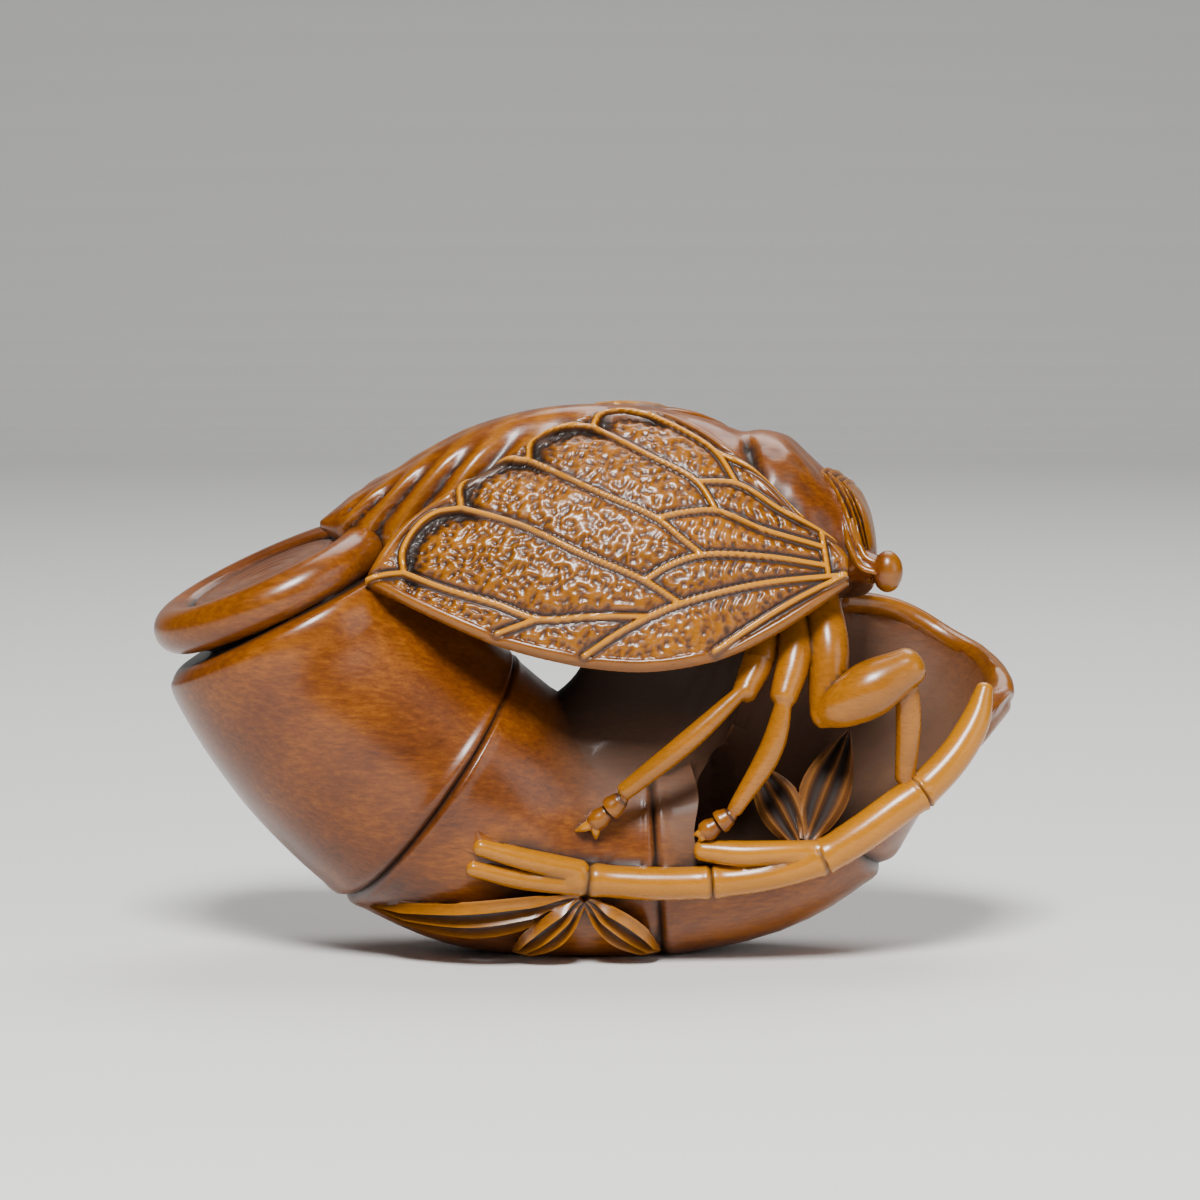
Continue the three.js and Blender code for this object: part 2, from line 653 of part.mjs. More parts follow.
// The twig with a short swelling at each of its nodes.
function branch() {
  const line = smooth(BRANCH.through);
  const swellings = BRANCH_NODES.map((i) => {
    const along = line.getTangent(i / (BRANCH.through.length - 1)).multiplyScalar(BRANCH_NODE_SWELL);
    const at = vec(BRANCH.through[i]);
    const r = BRANCH.r[i] + BRANCH_NODE_SWELL;
    const ends = [at.clone().sub(along), at.clone().add(along)];
    return rod({ through: ends.map((p) => p.toArray()), r: [r, r] }, LIMB_SIDES, 1);
  });
  return swellings.reduce((joined, swelling) => joined.add(swelling), rod(BRANCH, LIMB_SIDES, BRANCH_STEPS));
}

// A leaf: a pointed blade with a raised midrib and two raised edges.
function leaf({ through, half, facing }) {
  const line = smooth(through);
  const rings = [];
  for (let i = 0; i <= LEAF_STEPS; i++) {
    const t = i / LEAF_STEPS;
    const at = line.getPoint(t);
    const out = vec(facing).normalize();
    const side = line.getTangent(t).cross(out).normalize();
    const w = half * Math.sin(Math.PI * (LEAF_STALK + (LEAF_POINT - LEAF_STALK) * t));
    rings.push(
      LEAF_SECTION.map(([a, h]) =>
        at
          .clone()
          .addScaledVector(side, a * w)
          .addScaledVector(out, (h * LEAF_THICK) / 2),
      ),
    );
  }
  return outward(skin(rings));
}

function carving() {
  const pieces = [
    body(),
    wing([...MAIN_VEINS, ...FINE_VEINS]),
    otherSide(wing(MAIN_VEINS)),
    ...EYES.map(eye),
    ...NEAR_LIMBS.map((l) => rod(l)),
    ...FAR_LIMBS.map((l) => rod(l, FAR_LIMB_SIDES)),
    branch(),
    ...TWIGS.map((l) => rod(l)),
    ...LEAVES.map(leaf),
  ];
  const whole = pieces.reduce((joined, piece) => joined.add(piece), bamboo());
  const below = new THREE.BoxGeometry(GROUND, GROUND, GROUND).translate(0, 0, -GROUND / 2);
  return whole.subtract(outward(below));
}

const made = carving();
const mesh = made.getMesh();
const geometry = new THREE.BufferGeometry();
const positions = new Float32Array(mesh.numVert * 3);
for (let i = 0; i < mesh.numVert; i++)
  positions.set(mesh.vertProperties.subarray(i * mesh.numProp, i * mesh.numProp + 3), i * 3);
geometry.setAttribute("position", new THREE.BufferAttribute(positions, 3));
geometry.setIndex(new THREE.BufferAttribute(mesh.triVerts, 1));

const boxwood = new THREE.MeshStandardMaterial({ color: 0x9c5a1c, roughness: 0.35, metalness: 0 });
const figurine = new THREE.Mesh(geometry, boxwood);
figurine.name = "cicada_figurine";
export default new THREE.Group().add(figurine);
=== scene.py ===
"""A boxwood hand piece: a cicada that sits on a curved length of bamboo, carved from one block.

Lengths are millimetres until a mesh is made. +X is the scoop's tip, -Y the side with the twig, +Z up.
"""
import math

import bpy
import numpy as np
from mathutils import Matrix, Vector


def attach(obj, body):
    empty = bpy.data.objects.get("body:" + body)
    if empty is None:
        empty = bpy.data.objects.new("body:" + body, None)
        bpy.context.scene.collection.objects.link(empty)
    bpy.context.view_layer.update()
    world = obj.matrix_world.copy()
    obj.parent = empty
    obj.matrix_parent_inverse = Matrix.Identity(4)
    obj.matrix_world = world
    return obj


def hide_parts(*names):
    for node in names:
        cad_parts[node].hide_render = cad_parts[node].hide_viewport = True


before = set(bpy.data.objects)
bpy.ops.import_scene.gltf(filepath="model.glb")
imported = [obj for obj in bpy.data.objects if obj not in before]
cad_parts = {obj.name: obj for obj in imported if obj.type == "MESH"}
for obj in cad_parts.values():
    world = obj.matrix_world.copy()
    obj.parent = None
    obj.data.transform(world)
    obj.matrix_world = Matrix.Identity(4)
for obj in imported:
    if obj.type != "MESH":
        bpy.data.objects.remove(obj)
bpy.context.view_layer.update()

MM = 0.001

# The viewpoint of the photograph: from the front and a little above. The lens is long, so the carving is
# drawn almost without perspective.
LOOK_AT = Vector((1.25, 0, 29.6)) * MM
VIEW_DISTANCE = 500 * MM
VIEW_ELEVATION = math.radians(6)
LENS = 180

camera = bpy.data.objects.new("viewpoint", bpy.data.cameras.new("viewpoint"))
camera.data.lens = LENS
camera.data.sensor_width = 36
camera.data.clip_start = 10 * MM
away = Vector((0, -math.cos(VIEW_ELEVATION), math.sin(VIEW_ELEVATION)))
camera.location = LOOK_AT + away * VIEW_DISTANCE
camera.rotation_euler = (-away).to_track_quat("-Z", "Y").to_euler()
bpy.context.scene.collection.objects.link(camera)
bpy.context.scene.camera = camera


# The bamboo: one bent culm, thick at the cut end and thinner round the bend. It is turned and scraped smooth,
# with a line cut round each node between two low beads.
END_CENTRE = np.array([-26.2, 0, 30.8])
END_AXIS = np.array([-0.41, -0.07, 0.91]) / np.linalg.norm([-0.41, -0.07, 0.91])
CULM = np.array(
    [  # x, y, z of the centre line, radius
        [-25.2, 0.0, 28.6, 9.2],
        [-24.9, 0.1, 28.0, 10.9],
        [-22.9, 0.3, 24.4, 11.4],
        [-20.1, 0.5, 21.2, 12.0],
        [-16.8, 0.7, 17.9, 12.3],
        [-13.2, 0.8, 14.8, 12.3],
        [-7.1, 0.8, 11.2, 11.5],
        [-2.5, 0.8, 9.6, 10.3],
        [1.2, 0.8, 8.9, 9.7],
        [5.9, 0.8, 8.6, 9.1],
        [13.8, 1.0, 10.2, 8.9],
        [17.9, 1.2, 13.3, 9.4],
        [21.0, 1.5, 18.9, 10.0],
        [25.2, 1.5, 24.3, 10.3],
        [27.3, 1.5, 28.3, 10.5],
        [29.2, 1.5, 32.0, 10.6],
    ]
)
CULM_NODES = {5: 0.14, 9: 0.0, 11: 0.0}  # which points are nodes, and how much each ring leans forward
NODE_CLUSTER = np.linspace(-0.3, 0.3, 13)  # extra stations about a node, in points of the centre line
END_CLUSTER = np.linspace(0, 1.5, 14)  # and next to the cut end
NODE_GROOVE, NODE_GROOVE_WIDTH = 0.5, 0.24
NODE_SWELL, NODE_BEAD, NODE_BEAD_WIDTH = 0.16, 0.7, 0.5
LEAN_REACH = 6.0  # how far from the node the surface lines still lean with it
SHOULDER_DROP = 0.25  # how far the outer side of the shoulder lies below the inner one
WORN_FROM = (9.03, 9.15)  # past this place on the centre line the upper side is dull, as the scoop is
NECK_FROM = (5.9, 7.4)  # the top of the culm turns dull towards the neck
# how dull the saddle is, and how dark the painted shadow on it is
SADDLE_DULL, SADDLE_SHADOW = 0.8, 0.35
END_SHADOW_REACH = 0.45  # painted shadow darkens the culm over this much of its centre line, under the lip of its cut end
CULM_STATIONS, CULM_SIDES = 66, 68


def smooth_line(points, at):
    """Place and heading on the centripetal Catmull-Rom curve through the points.

    `at` counts points, so 1.5 is half way from the second to the third. On each stretch a cubic joins its two
    ends with the slopes given by knots that are spaced by the square root of the distance.
    """
    points = np.asarray(points, float)
    padded = np.vstack([2 * points[0] - points[1], points, 2 * points[-1] - points[-2]])
    gap = np.linalg.norm(np.diff(padded, axis=0), axis=1)[:, None] ** 0.5
    at = np.asarray(at, float)
    i = np.clip(np.floor(at).astype(int), 0, len(points) - 2)
    u = (at - i)[:, None]
    before, start, end, after = (padded[i + k] for k in range(4))
    g0, g1, g2 = (gap[i + k] for k in range(3))
    leave = ((start - before) / g0 - (end - before) / (g0 + g1) + (end - start) / g1) * g1
    arrive = ((end - start) / g1 - (after - start) / (g1 + g2) + (after - end) / g2) * g1
    square = 3 * (end - start) - 2 * leave - arrive
    cube = 2 * (start - end) + leave + arrive
    place = start + leave * u + square * u**2 + cube * u**3
    heading = leave + 2 * square * u + 3 * cube * u**2
    return place, heading / np.linalg.norm(heading, axis=1, keepdims=True)


def bump(distance, width):
    """A smooth hill, 1 at distance 0, that falls off as a bell of the given half width."""
    return np.exp(-((distance / width) ** 2))


def ramp(x, low, high):
    """0 below low, 1 above high, and a smooth S between them."""
    t = np.clip((x - low) / (high - low), 0, 1)
    return t * t * (3 - 2 * t)


def skin(name, rings, **marks):
    """A closed mesh over a grid of points (ring, side): quads join each ring to the next, and a fan on its
    middle closes each end. A mark is a number per grid point that the material reads, such as shade."""
    count, sides = rings.shape[:2]
    middles = rings[[0, -1]].mean(axis=1)
    points = np.vstack([rings.reshape(-1, 3), middles]) * MM
    i, j = np.meshgrid(np.arange(count - 1), np.arange(sides), indexing="ij")
    here, beside = i * sides + j, i * sides + (j + 1) % sides
    quads = np.stack([here, here + sides, beside + sides, beside], -1).reshape(-1, 4)
    first, second = np.arange(sides), (np.arange(sides) + 1) % sides
    last = (count - 1) * sides
    fan = np.full(sides, count * sides)
    start = np.stack([fan, first, second], -1)
    finish = np.stack([fan + 1, last + second, last + first], -1)
    corners = points[quads]
    turn = np.cross(corners[:, 2] - corners[:, 0], corners[:, 3] - corners[:, 1])
    if (turn * (corners.mean(axis=1) - points.mean(axis=0))).sum() < 0:
        quads, start, finish = quads[:, ::-1], start[:, ::-1], finish[:, ::-1]
    mesh = bpy.data.meshes.new(name)
    mesh.from_pydata(points, [], [*quads.tolist(), *start.tolist(), *finish.tolist()])
    for mark in ("own", "shade", "gold", "dull"):
        values = np.broadcast_to(marks.get(mark, float(mark == "own")), (count, sides))
        values = np.concatenate([values.ravel(), values[[0, -1]].mean(axis=1)])
        mesh.attributes.new(mark, "FLOAT", "POINT").data.foreach_set("value", values.astype(np.float32))
    piece = bpy.data.objects.new(name, mesh)
    bpy.context.scene.collection.objects.link(piece)
    return piece


def bent_tube(name, entries, at, sides, surface):
    """A tube along a bent line: at each station a circle stands across the line, turned only within the plane
    of the bend. surface(at, angle, radius) may change the radius and slide a point along the line."""
    place, heading = smooth_line(entries[:, :3], at)
    radii = smooth_line(np.column_stack([entries[:, :3], entries[:, 3:]]), at)[0][:, 3:]
    heading = heading * [1, 0, 1]
    heading /= np.linalg.norm(heading, axis=1, keepdims=True)
    outwards = heading[:, [2, 1, 0]] * [1, 0, -1]
    angle = np.linspace(0, 2 * np.pi, sides, endpoint=False)[None, :]
    flat, deep = radii[:, :1], radii[:, -1:]
    grow, slide, marks = surface(at[:, None], angle, deep)
    rings = (
        place[:, None]
        + outwards[:, None] * ((flat + grow) * np.cos(angle))[..., None]
        + heading[:, None] * slide[..., None]
        + np.array([0, 1, 0]) * ((deep + grow) * np.sin(angle))[..., None]
    )
    return skin(name, rings, **marks)


def arc_length(points, at):
    """Distance along the smooth line from its first point to each place, from a fine sampling."""
    fine = np.linspace(0, len(points) - 1, 2000)
    steps = np.linalg.norm(np.diff(smooth_line(points, fine)[0], axis=0), axis=1)
    return np.interp(at, fine, np.concatenate([[0], np.cumsum(steps)]))


def culm_surface(at, angle, radius):
    """The nodes of the bamboo: a groove like a narrow bell between two low bells, on a ring that leans. The
    top of the culm, the saddle, is dull and carries painted shadow towards the neck; painted shadow also
    darkens it under the lip of its cut end."""
    along = arc_length(CULM[:, :3], at)
    grow = 0.0 * angle * at
    slide = 0.0 * grow
    shade = 0.0 * grow
    for index, lean in CULM_NODES.items():
        away = along - arc_length(CULM[:, :3], [index])[0]
        beads = bump(away - NODE_BEAD, NODE_BEAD_WIDTH) + bump(away + NODE_BEAD, NODE_BEAD_WIDTH)
        line = bump(away, NODE_GROOVE_WIDTH)
        grow = grow + NODE_SWELL * beads - NODE_GROOVE * line
        slide = slide - lean * radius * np.sin(angle) * bump(away, LEAN_REACH)
        shade = shade + line + 0 * angle
    slide = slide + SHOULDER_DROP * (1 - ramp(at, 0.6, 2)) * (0.5 + 0.5 * np.cos(angle))
    dull = SADDLE_DULL * ramp(at, *WORN_FROM) * ramp(-np.cos(angle), -0.25, 0.1)
    saddle = ramp(at, *NECK_FROM) * ramp(-np.cos(angle), 0.3, 0.8)
    dull = np.maximum(dull, SADDLE_DULL * saddle)
    # painted shadow under the lip of the cut end, and on the saddle, which lies under the wing
    shade = shade + 1 - ramp(at, 0, END_SHADOW_REACH) + SADDLE_SHADOW * saddle * (1 - ramp(at, *WORN_FROM))
    return grow, slide, {"shade": np.clip(shade, 0, 1), "dull": dull}


last = len(CULM) - 1
near_nodes = [node + NODE_CLUSTER for node in CULM_NODES]
stations = [np.linspace(0, last, CULM_STATIONS), END_CLUSTER, *near_nodes]
culm = bent_tube("culm", CULM, np.unique(np.concatenate(stations)), CULM_SIDES, culm_surface)


# The cut end of the bamboo: a rounded lip round a shallow dish, turned about the culm's own axis. Its plug of
# wood runs down into the culm.
END_RADIUS = 10.5
LIP_RADIUS = 1.9
LIP_ARC = np.linspace(-0.6, 0.66, 20) * np.pi
DISH_RADIUS, DISH_LEVEL, DISH_MIDDLE = 6.7, 1.3, 1.15
DISH_CUT, DISH_CUT_WIDTH = 0.3, 0.35  # the line cut where the dish meets the lip
DISH_SHADE, DISH_LINE_SHADE, DISH_LINE_WIDTH = 0.06, 0.7, 0.4
FINE_LINE_RADIUS, FINE_LINE_SHADE, FINE_LINE_WIDTH = 5.6, 0.4, 0.2  # a second, fainter line inside it
HUB = 0.05  # the profile stops this far from the axis, where a fan closes it
UNDER_LIP_SHADOW_POINTS = 5  # the first points of the profile are painted as in shadow under the lip
PLUG_DEPTH = 6.0
TURNED_PITCH, TURNED_DEPTH = 1.3, 0.05  # the turning marks left in the dish
RING_SIDES = 88


def lathe(name, profile, centre, axis, sides, **marks):
    """A profile of (radius, height) turned about an axis through the centre."""
    side = np.cross([0, 1, 0], axis)
    side /= np.linalg.norm(side)
    other = np.cross(axis, side)
    angle = np.linspace(0, 2 * np.pi, sides, endpoint=False)
    spoke = side * np.cos(angle)[:, None] + other * np.sin(angle)[:, None]
    rings = centre + profile[:, :1, None] * spoke + profile[:, 1:, None] * axis
    return skin(name, rings, **marks)


lip = np.column_stack([END_RADIUS - LIP_RADIUS + LIP_RADIUS * np.cos(LIP_ARC), LIP_RADIUS * np.sin(LIP_ARC)])
inner = np.linspace(lip[-1, 0], HUB, 30)[1:]
dish = DISH_LEVEL + (lip[-1, 1] - DISH_LEVEL) * ramp(inner, DISH_RADIUS, lip[-1, 0])
dish = dish - (DISH_LEVEL - DISH_MIDDLE) * (1 - ramp(inner, 0, DISH_RADIUS))
dish = dish - DISH_CUT * bump(inner - DISH_RADIUS, DISH_CUT_WIDTH)
plug = [[HUB, -PLUG_DEPTH], [END_RADIUS - LIP_RADIUS, -LIP_RADIUS]]
profile = np.vstack([plug, lip, np.column_stack([inner, dish])])
in_dish = np.arange(len(profile))[:, None] >= len(plug) + len(lip)
lip_shadow = np.arange(len(profile))[:, None] < UNDER_LIP_SHADOW_POINTS
fine_line = FINE_LINE_SHADE * bump(profile[:, :1] - FINE_LINE_RADIUS, FINE_LINE_WIDTH)
dish_line = (bump(profile[:, :1] - DISH_RADIUS, DISH_LINE_WIDTH) + fine_line) * in_dish
# painted shadow under the lip, a little painted shade over the dish, and the dish's two dark lines
ring_shade = np.clip(DISH_SHADE * in_dish + DISH_LINE_SHADE * dish_line + lip_shadow, 0, 1)
profile[:, 1] -= TURNED_DEPTH * in_dish[:, 0] * np.sin(2 * np.pi * profile[:, 0] / TURNED_PITCH)
end_ring = lathe("end_ring", profile, END_CENTRE, END_AXIS, RING_SIDES, shade=ring_shade)


# The scoop: the right end of the bamboo is gouged out, and its rim is cut in two sweeps that meet at the tip.
# The bare wood inside has greyed, and the wall ends in a rounded lip.
HOLLOW = np.array(
    [  # x, y, z, radius in the plane of the bend, radius front to back
        [8.1, -0.6, 10.9, 1.2, 1.2],
        [8.6, -0.6, 10.9, 3.4, 3.2],
        [9.5, -0.6, 10.9, 5.1, 4.8],
        [10.9, -0.6, 10.9, 6.4, 5.7],
        [14.0, -0.4, 11.2, 6.9, 6.0],
        [17.9, 0.2, 13.9, 7.5, 6.9],
        [21.0, 1.2, 18.9, 8.3, 8.3],
        [25.2, 1.4, 24.3, 8.8, 9.0],
        [27.3, 1.4, 28.3, 9.0, 9.2],
        [30.5, 1.5, 34.0, 9.1, 9.4],
    ]
)
NEAR_RIM = [
    [7.6, 24.0], [8.3, 18.0], [9.4, 14.0], [9.0, 11.0], [9.4, 9.6], [12.8, 9.8],
    [17.7, 10.2], [21.9, 11.6], [26.4, 14.7], [31.1, 17.9], [33.2, 20.0], [35.6, 22.0],
]
FAR_RIM = [
    [12.0, 26.6], [14.9, 27.8], [18.3, 29.0], [22.0, 29.2], [25.3, 28.7], [27.9, 27.7],
    [30.9, 25.9], [33.9, 24.3], [35.6, 22.0],
]
RIM_TURN = (-1.5, 4.5)  # Y over which the near rim turns into the far one
RIM_STEPS = 120
HOLLOW_STATIONS, HOLLOW_SIDES = 46, 68
GOUGE_COUNT, GOUGE_DEPTH = (19, 31), (0.05, 0.03)  # two sets of gouge marks, wide and narrow
GREY_TO, DEEP_SHADE_TO = (6.6, 8.2), (5.0, 7.0)  # places on the hollow's line where it is less grey, and where the painted shade of its deep end fades
CUTTER_REACH, CUTTER_TOP = 30.0, 60.0
LIP_BEAD, LIP_INSET, LIP_SINK, LIP_EVEN = 1.0, 0.8, 0.75, 4  # the rounded lip that runs round the rim
TIP, TIP_BEAD, TIP_REACH = np.array([34.8, 2.5, 22.6]), 0.35, 3.0  # the lip is fuller at the tip


def hollow_surface(at, angle, radius):
    """Long shallow gouge marks that run down the hollow: two low waves round its wall, which die out on the
    side with the twig."""
    front = ramp(-np.sin(angle), -0.3, 0.3)
    grow = GOUGE_DEPTH[0] * np.sin(GOUGE_COUNT[0] * angle + 2 * np.sin(at))
    grow = grow + GOUGE_DEPTH[1] * np.sin(GOUGE_COUNT[1] * angle + 1.3 * at)
    dull = 1 - 0.8 * ramp(at, *GREY_TO) + 0 * angle
    # painted shade, darker towards the deep start of the hollow
    shade = 0.2 * (1 - ramp(at, *DEEP_SHADE_TO)) + 0 * angle
    return grow * (1 - front), 0 * grow, {"dull": dull, "shade": shade}


def spaced(points, count):
    """The smooth line through the points, read at places an equal distance apart."""
    fine = smooth_line(points, np.linspace(0, len(points) - 1, 3000))[0]
    along = np.concatenate([[0], np.cumsum(np.linalg.norm(np.diff(fine, axis=0), axis=1))])
    want = np.linspace(0, along[-1], count)
    return np.stack([np.interp(want, along, fine[:, k]) for k in range(fine.shape[1])], -1)


def rim_cutter(name):
    """Everything above the rim: at each Y an outline that starts with the rim line there, which turns from
    the near line to the far one in an S."""
    near, far = spaced(NEAR_RIM, RIM_STEPS), spaced(FAR_RIM, RIM_STEPS)
    y = np.concatenate([[-CUTTER_REACH], np.linspace(*RIM_TURN, 16), [CUTTER_REACH]])
    share = ramp(y, *RIM_TURN)[:, None, None]
    rim = near + (far - near) * share
    first, last = rim[:, :1], rim[:, -1:]
    top = np.full_like(first[..., :1], CUTTER_TOP)
    corners = [np.dstack([top, last[..., 1:]]), np.dstack([top, top]), np.dstack([first[..., :1], top])]
    outline = np.concatenate([rim, *corners], axis=1)
    depth = np.broadcast_to(y[:, None, None], outline[..., :1].shape)
    return skin(name, np.dstack([outline[..., :1], depth, outline[..., 1:]]))


def combine(piece, tool, operation):
    """Joins the tool to the piece or cuts it away, and keeps the marks of both."""
    change = piece.modifiers.new(operation, "BOOLEAN")
    change.operation = operation
    change.solver = "MANIFOLD"
    change.object = tool
    depsgraph = bpy.context.evaluated_depsgraph_get()
    piece.data = bpy.data.meshes.new_from_object(piece.evaluated_get(depsgraph))
    piece.modifiers.clear()
    bpy.data.objects.remove(tool)
    return piece


hollow_at = np.linspace(0, len(HOLLOW) - 1, HOLLOW_STATIONS)
hollow = bent_tube("hollow", HOLLOW, hollow_at, HOLLOW_SIDES, hollow_surface)
combine(culm, rim_cutter("rim_cut"), "DIFFERENCE")

ROD_END = 0.75  # how far a rod's rounded end reaches, in radii
ROD_CAP = 5  # rings of points in each rounded end
ASKEW = [0.31, 0.52, 0.80]  # no rod runs this way, so the circles across one are set out from it
WALL_FROM = 8  # the point of the culm's centre line where the wall of the scoop starts
LIP_FROM_FAR, LIP_FROM_NEAR, LIP_STEPS = 3, 6, 40  # the points of the rims where the lip starts


def rod(name, points, radii, sides=20, steps=24, relief=None, **marks):
    """A round-ended rod: circles along a smooth line through places and radii, each turned as little as
    possible from the last, and half an ellipse at each end. relief(at) gives what is added to the radius and
    how dark it is, at each place counted in points."""
    points = np.column_stack([np.asarray(points, float), radii])
    at = np.linspace(0, len(points) - 1, steps + 1)
    line, slope = smooth_line(points, at)
    place, radius, heading = line[:, :3], line[:, 3], slope[:, :3]
    heading /= np.linalg.norm(heading, axis=1, keepdims=True)
    if relief is not None:
        grow, shade = relief(at)
        radius = radius + grow
        marks["shade"] = np.pad(shade, ROD_CAP)[:, None]
    round_end = np.linspace(0.05, 0.5, ROD_CAP + 1)[:-1] * np.pi
    start = place[0] - heading[0] * (radius[0] * np.cos(round_end))[:, None] * ROD_END
    finish = place[-1] + heading[-1] * (radius[-1] * np.cos(round_end[::-1]))[:, None] * ROD_END
    place = np.vstack([start, place, finish])
    heading = np.vstack([np.tile(heading[0], (ROD_CAP, 1)), heading, np.tile(heading[-1], (ROD_CAP, 1))])
    tips = np.sin(round_end)
    radius = np.concatenate([radius[0] * tips, radius, radius[-1] * tips[::-1]])
    across = np.cross(heading, ASKEW)
    across /= np.linalg.norm(across, axis=1, keepdims=True)
    other = np.cross(heading, across)
    angle = np.linspace(0, 2 * np.pi, sides, endpoint=False)
    spoke = across[:, None] * np.cos(angle)[:, None] + other[:, None] * np.sin(angle)[:, None]
    return skin(name, place[:, None] + radius[:, None, None] * spoke, **marks)


def on_wall(rim):
    """How far out from the culm's centre line a rim line runs, and the centre line's Y and radius there."""
    centre = smooth_line(CULM, np.linspace(WALL_FROM, last, 1200))[0]
    gap = np.hypot(rim[:, :1] - centre[:, 0], rim[:, 1:] - centre[:, 2])
    nearest = gap.argmin(axis=1)
    return gap.min(axis=1), centre[nearest, 1], centre[nearest, 3]


def lip_line(rim, side, count):
    """The middle of the wall's edge along a rim line: Y is what closes the circle of that radius."""
    rim = spaced(rim, count)
    out, y, radius = on_wall(rim)
    y = y + side * np.sqrt(np.clip((radius - LIP_INSET) ** 2 - out**2, 0, None))
    return np.column_stack([rim[:, 0], y, rim[:, 1] - LIP_SINK])


far_lip = lip_line(FAR_RIM[LIP_FROM_FAR:], 1, LIP_STEPS)
near_lip = lip_line(NEAR_RIM[LIP_FROM_NEAR:], -1, LIP_STEPS)
lip_points = np.vstack([near_lip[:-1], far_lip[::-1]])
for step in range(LIP_EVEN):
    lip_points[1:-1] = (lip_points[:-2] + 2 * lip_points[1:-1] + lip_points[2:]) / 4
lip_radii = LIP_BEAD + TIP_BEAD * bump(np.linalg.norm(lip_points - TIP, axis=1), TIP_REACH)
rim_lip = rod("rim_lip", lip_points, lip_radii, sides=14, steps=120, gold=0.1)

# The neck of wood left between the insect's belly and the bamboo, cut back where it doesn't show. It is dull,
# and painted shadow darkens it, most towards the wing above. The hollow is cut after it is joined.
NECK = np.array(
    [  # x, y, z, half-length, half-depth
        [0.4, 1.0, 14.0, 11.0, 7.4],
        [2.2, 1.0, 17.8, 9.6, 6.5],
        [4.4, 1.0, 20.4, 8.5, 5.3],
        [7.0, 1.0, 23.4, 7.7, 4.8],
        [9.0, 1.0, 29.0, 7.4, 5.0],
    ]
)
NECK_STATIONS, NECK_SIDES = 28, 48
NECK_DULL, NECK_SHADE, NECK_SHADOW_GAIN = 0.85, 0.3, 0.55
NECK_SHADOW_HEIGHTS = (16.5, 22.0)  # heights between which its painted shadow deepens

neck_line = smooth_line(NECK, np.linspace(0, len(NECK) - 1, NECK_STATIONS))[0]
neck_angle = np.linspace(0, 2 * np.pi, NECK_SIDES, endpoint=False)
neck_rings = neck_line[:, None, :3] + np.stack(
    [
        neck_line[:, 3:4] * np.cos(neck_angle),
        neck_line[:, 4:5] * np.sin(neck_angle),
        np.zeros((len(neck_line), len(neck_angle))),
    ],
    -1,
)
# painted shadow over all the neck, deeper towards the wing above it
neck_shade = NECK_SHADE + NECK_SHADOW_GAIN * ramp(neck_line[:, 2:3], *NECK_SHADOW_HEIGHTS)
combine(culm, skin("neck", neck_rings, dull=NECK_DULL, shade=neck_shade), "UNION")
combine(culm, hollow, "DIFFERENCE")
combine(culm, end_ring, "UNION")

# The insect's body: abdomen, thorax, collar and head in one spindle that leans to the front. Its rings,
# ridges and dents are cut into the wood, and their crevices are dark.
LEAN = math.radians(8)
CREST = np.array([2.5, 0, 45.4])
SIDEWAYS = np.array([0, -math.cos(LEAN), -math.sin(LEAN)])
UPWARDS = np.array([0, -math.sin(LEAN), math.cos(LEAN)])
SEGMENTS, TAIL_X, WAIST_X = 7, -20.5, 2.0  # the lobes of the abdomen, and where they start and end
BODY = np.array(
    [  # x, crest height, belly height, half-width, slant of the ring from crest to flank
        [-22.1, 36.1, 35.5, 0.3, 0],
        [-20.5, 37.3, 34.4, 1.9, -0.3],
        [-18.0, 38.9, 32.6, 3.4, -1.2],
        [-15.5, 40.3, 30.8, 4.3, -1.8],
        [-12.5, 42.2, 28.6, 5.0, -2.2],
        [-9.5, 43.8, 27.4, 5.6, -2.2],
        [-6.0, 45.0, 26.4, 6.2, -2.2],
        [-2.5, 45.7, 25.9, 6.7, -2.0],
        [2.0, 45.9, 25.5, 7.1, -1.6],
        [7.0, 45.4, 25.4, 7.6, -0.8],
        [10.9, 44.4, 25.4, 7.9, 0],
        [13.0, 43.6, 25.6, 8.0, 0.4],
        [14.8, 43.7, 26.0, 8.0, 0.8],
        [16.6, 43.2, 26.6, 7.9, 1.2],
        [18.4, 41.4, 27.6, 7.7, 1.6],
        [19.6, 40.2, 28.4, 7.5, 1.8],
        [20.3, 40.0, 28.8, 7.4, 2.0],
        [20.9, 39.5, 28.8, 7.2, 2.0],
        [22.4, 38.7, 28.9, 6.6, 1.3],
        [23.2, 37.7, 29.2, 6.0, 0.8],
        [23.9, 36.4, 29.8, 4.8, 0.3],
        [24.3, 34.6, 31.2, 2.6, 0],
    ]
)
BODY_SIDES = 78
LOBE_DEPTH, RING_SLANT = 0.5, 4.5
TUCK_DEPTH, TUCK_START, TUCK_END = 0.9, (-9, -3), (9, 12)  # the flank drawn in where the wing lies on it
FURROW_X, FURROW_DEPTH, FURROW_WIDTH = 13.1, 0.5, 0.45
COLLAR_X, COLLAR_DRIFT, COLLAR_SWEEP, COLLAR_RIDGES = 19.7, 0.45, 3.0, 4
COLLAR_PITCH = (0.6, 0.52)  # spacing of the ridges at the crest and at the flank
COLLAR_HEIGHT = 0.28
CHEEK_PIT, CHEEK_SIZE, CHEEK_DEPTH = (22.9, 1.38), (0.5, 0.13), 0.7  # X and angle from the crest
CHIN_FROM, CHIN_DEPTH = (16.5, 19), 1.0  # under the eyes the head is cut back, and painted shadow is laid there
DENT_PITCH, DENT_DEPTH, THORAX_RADIUS = 1.7, 0.14, 8.0  # the small dents on the thorax
DENT_START, DENT_END, DENT_SEED = (9, 11), (18.4, 19.2), 5
DOT_CELLS = 64  # scattered dots repeat after this many cells


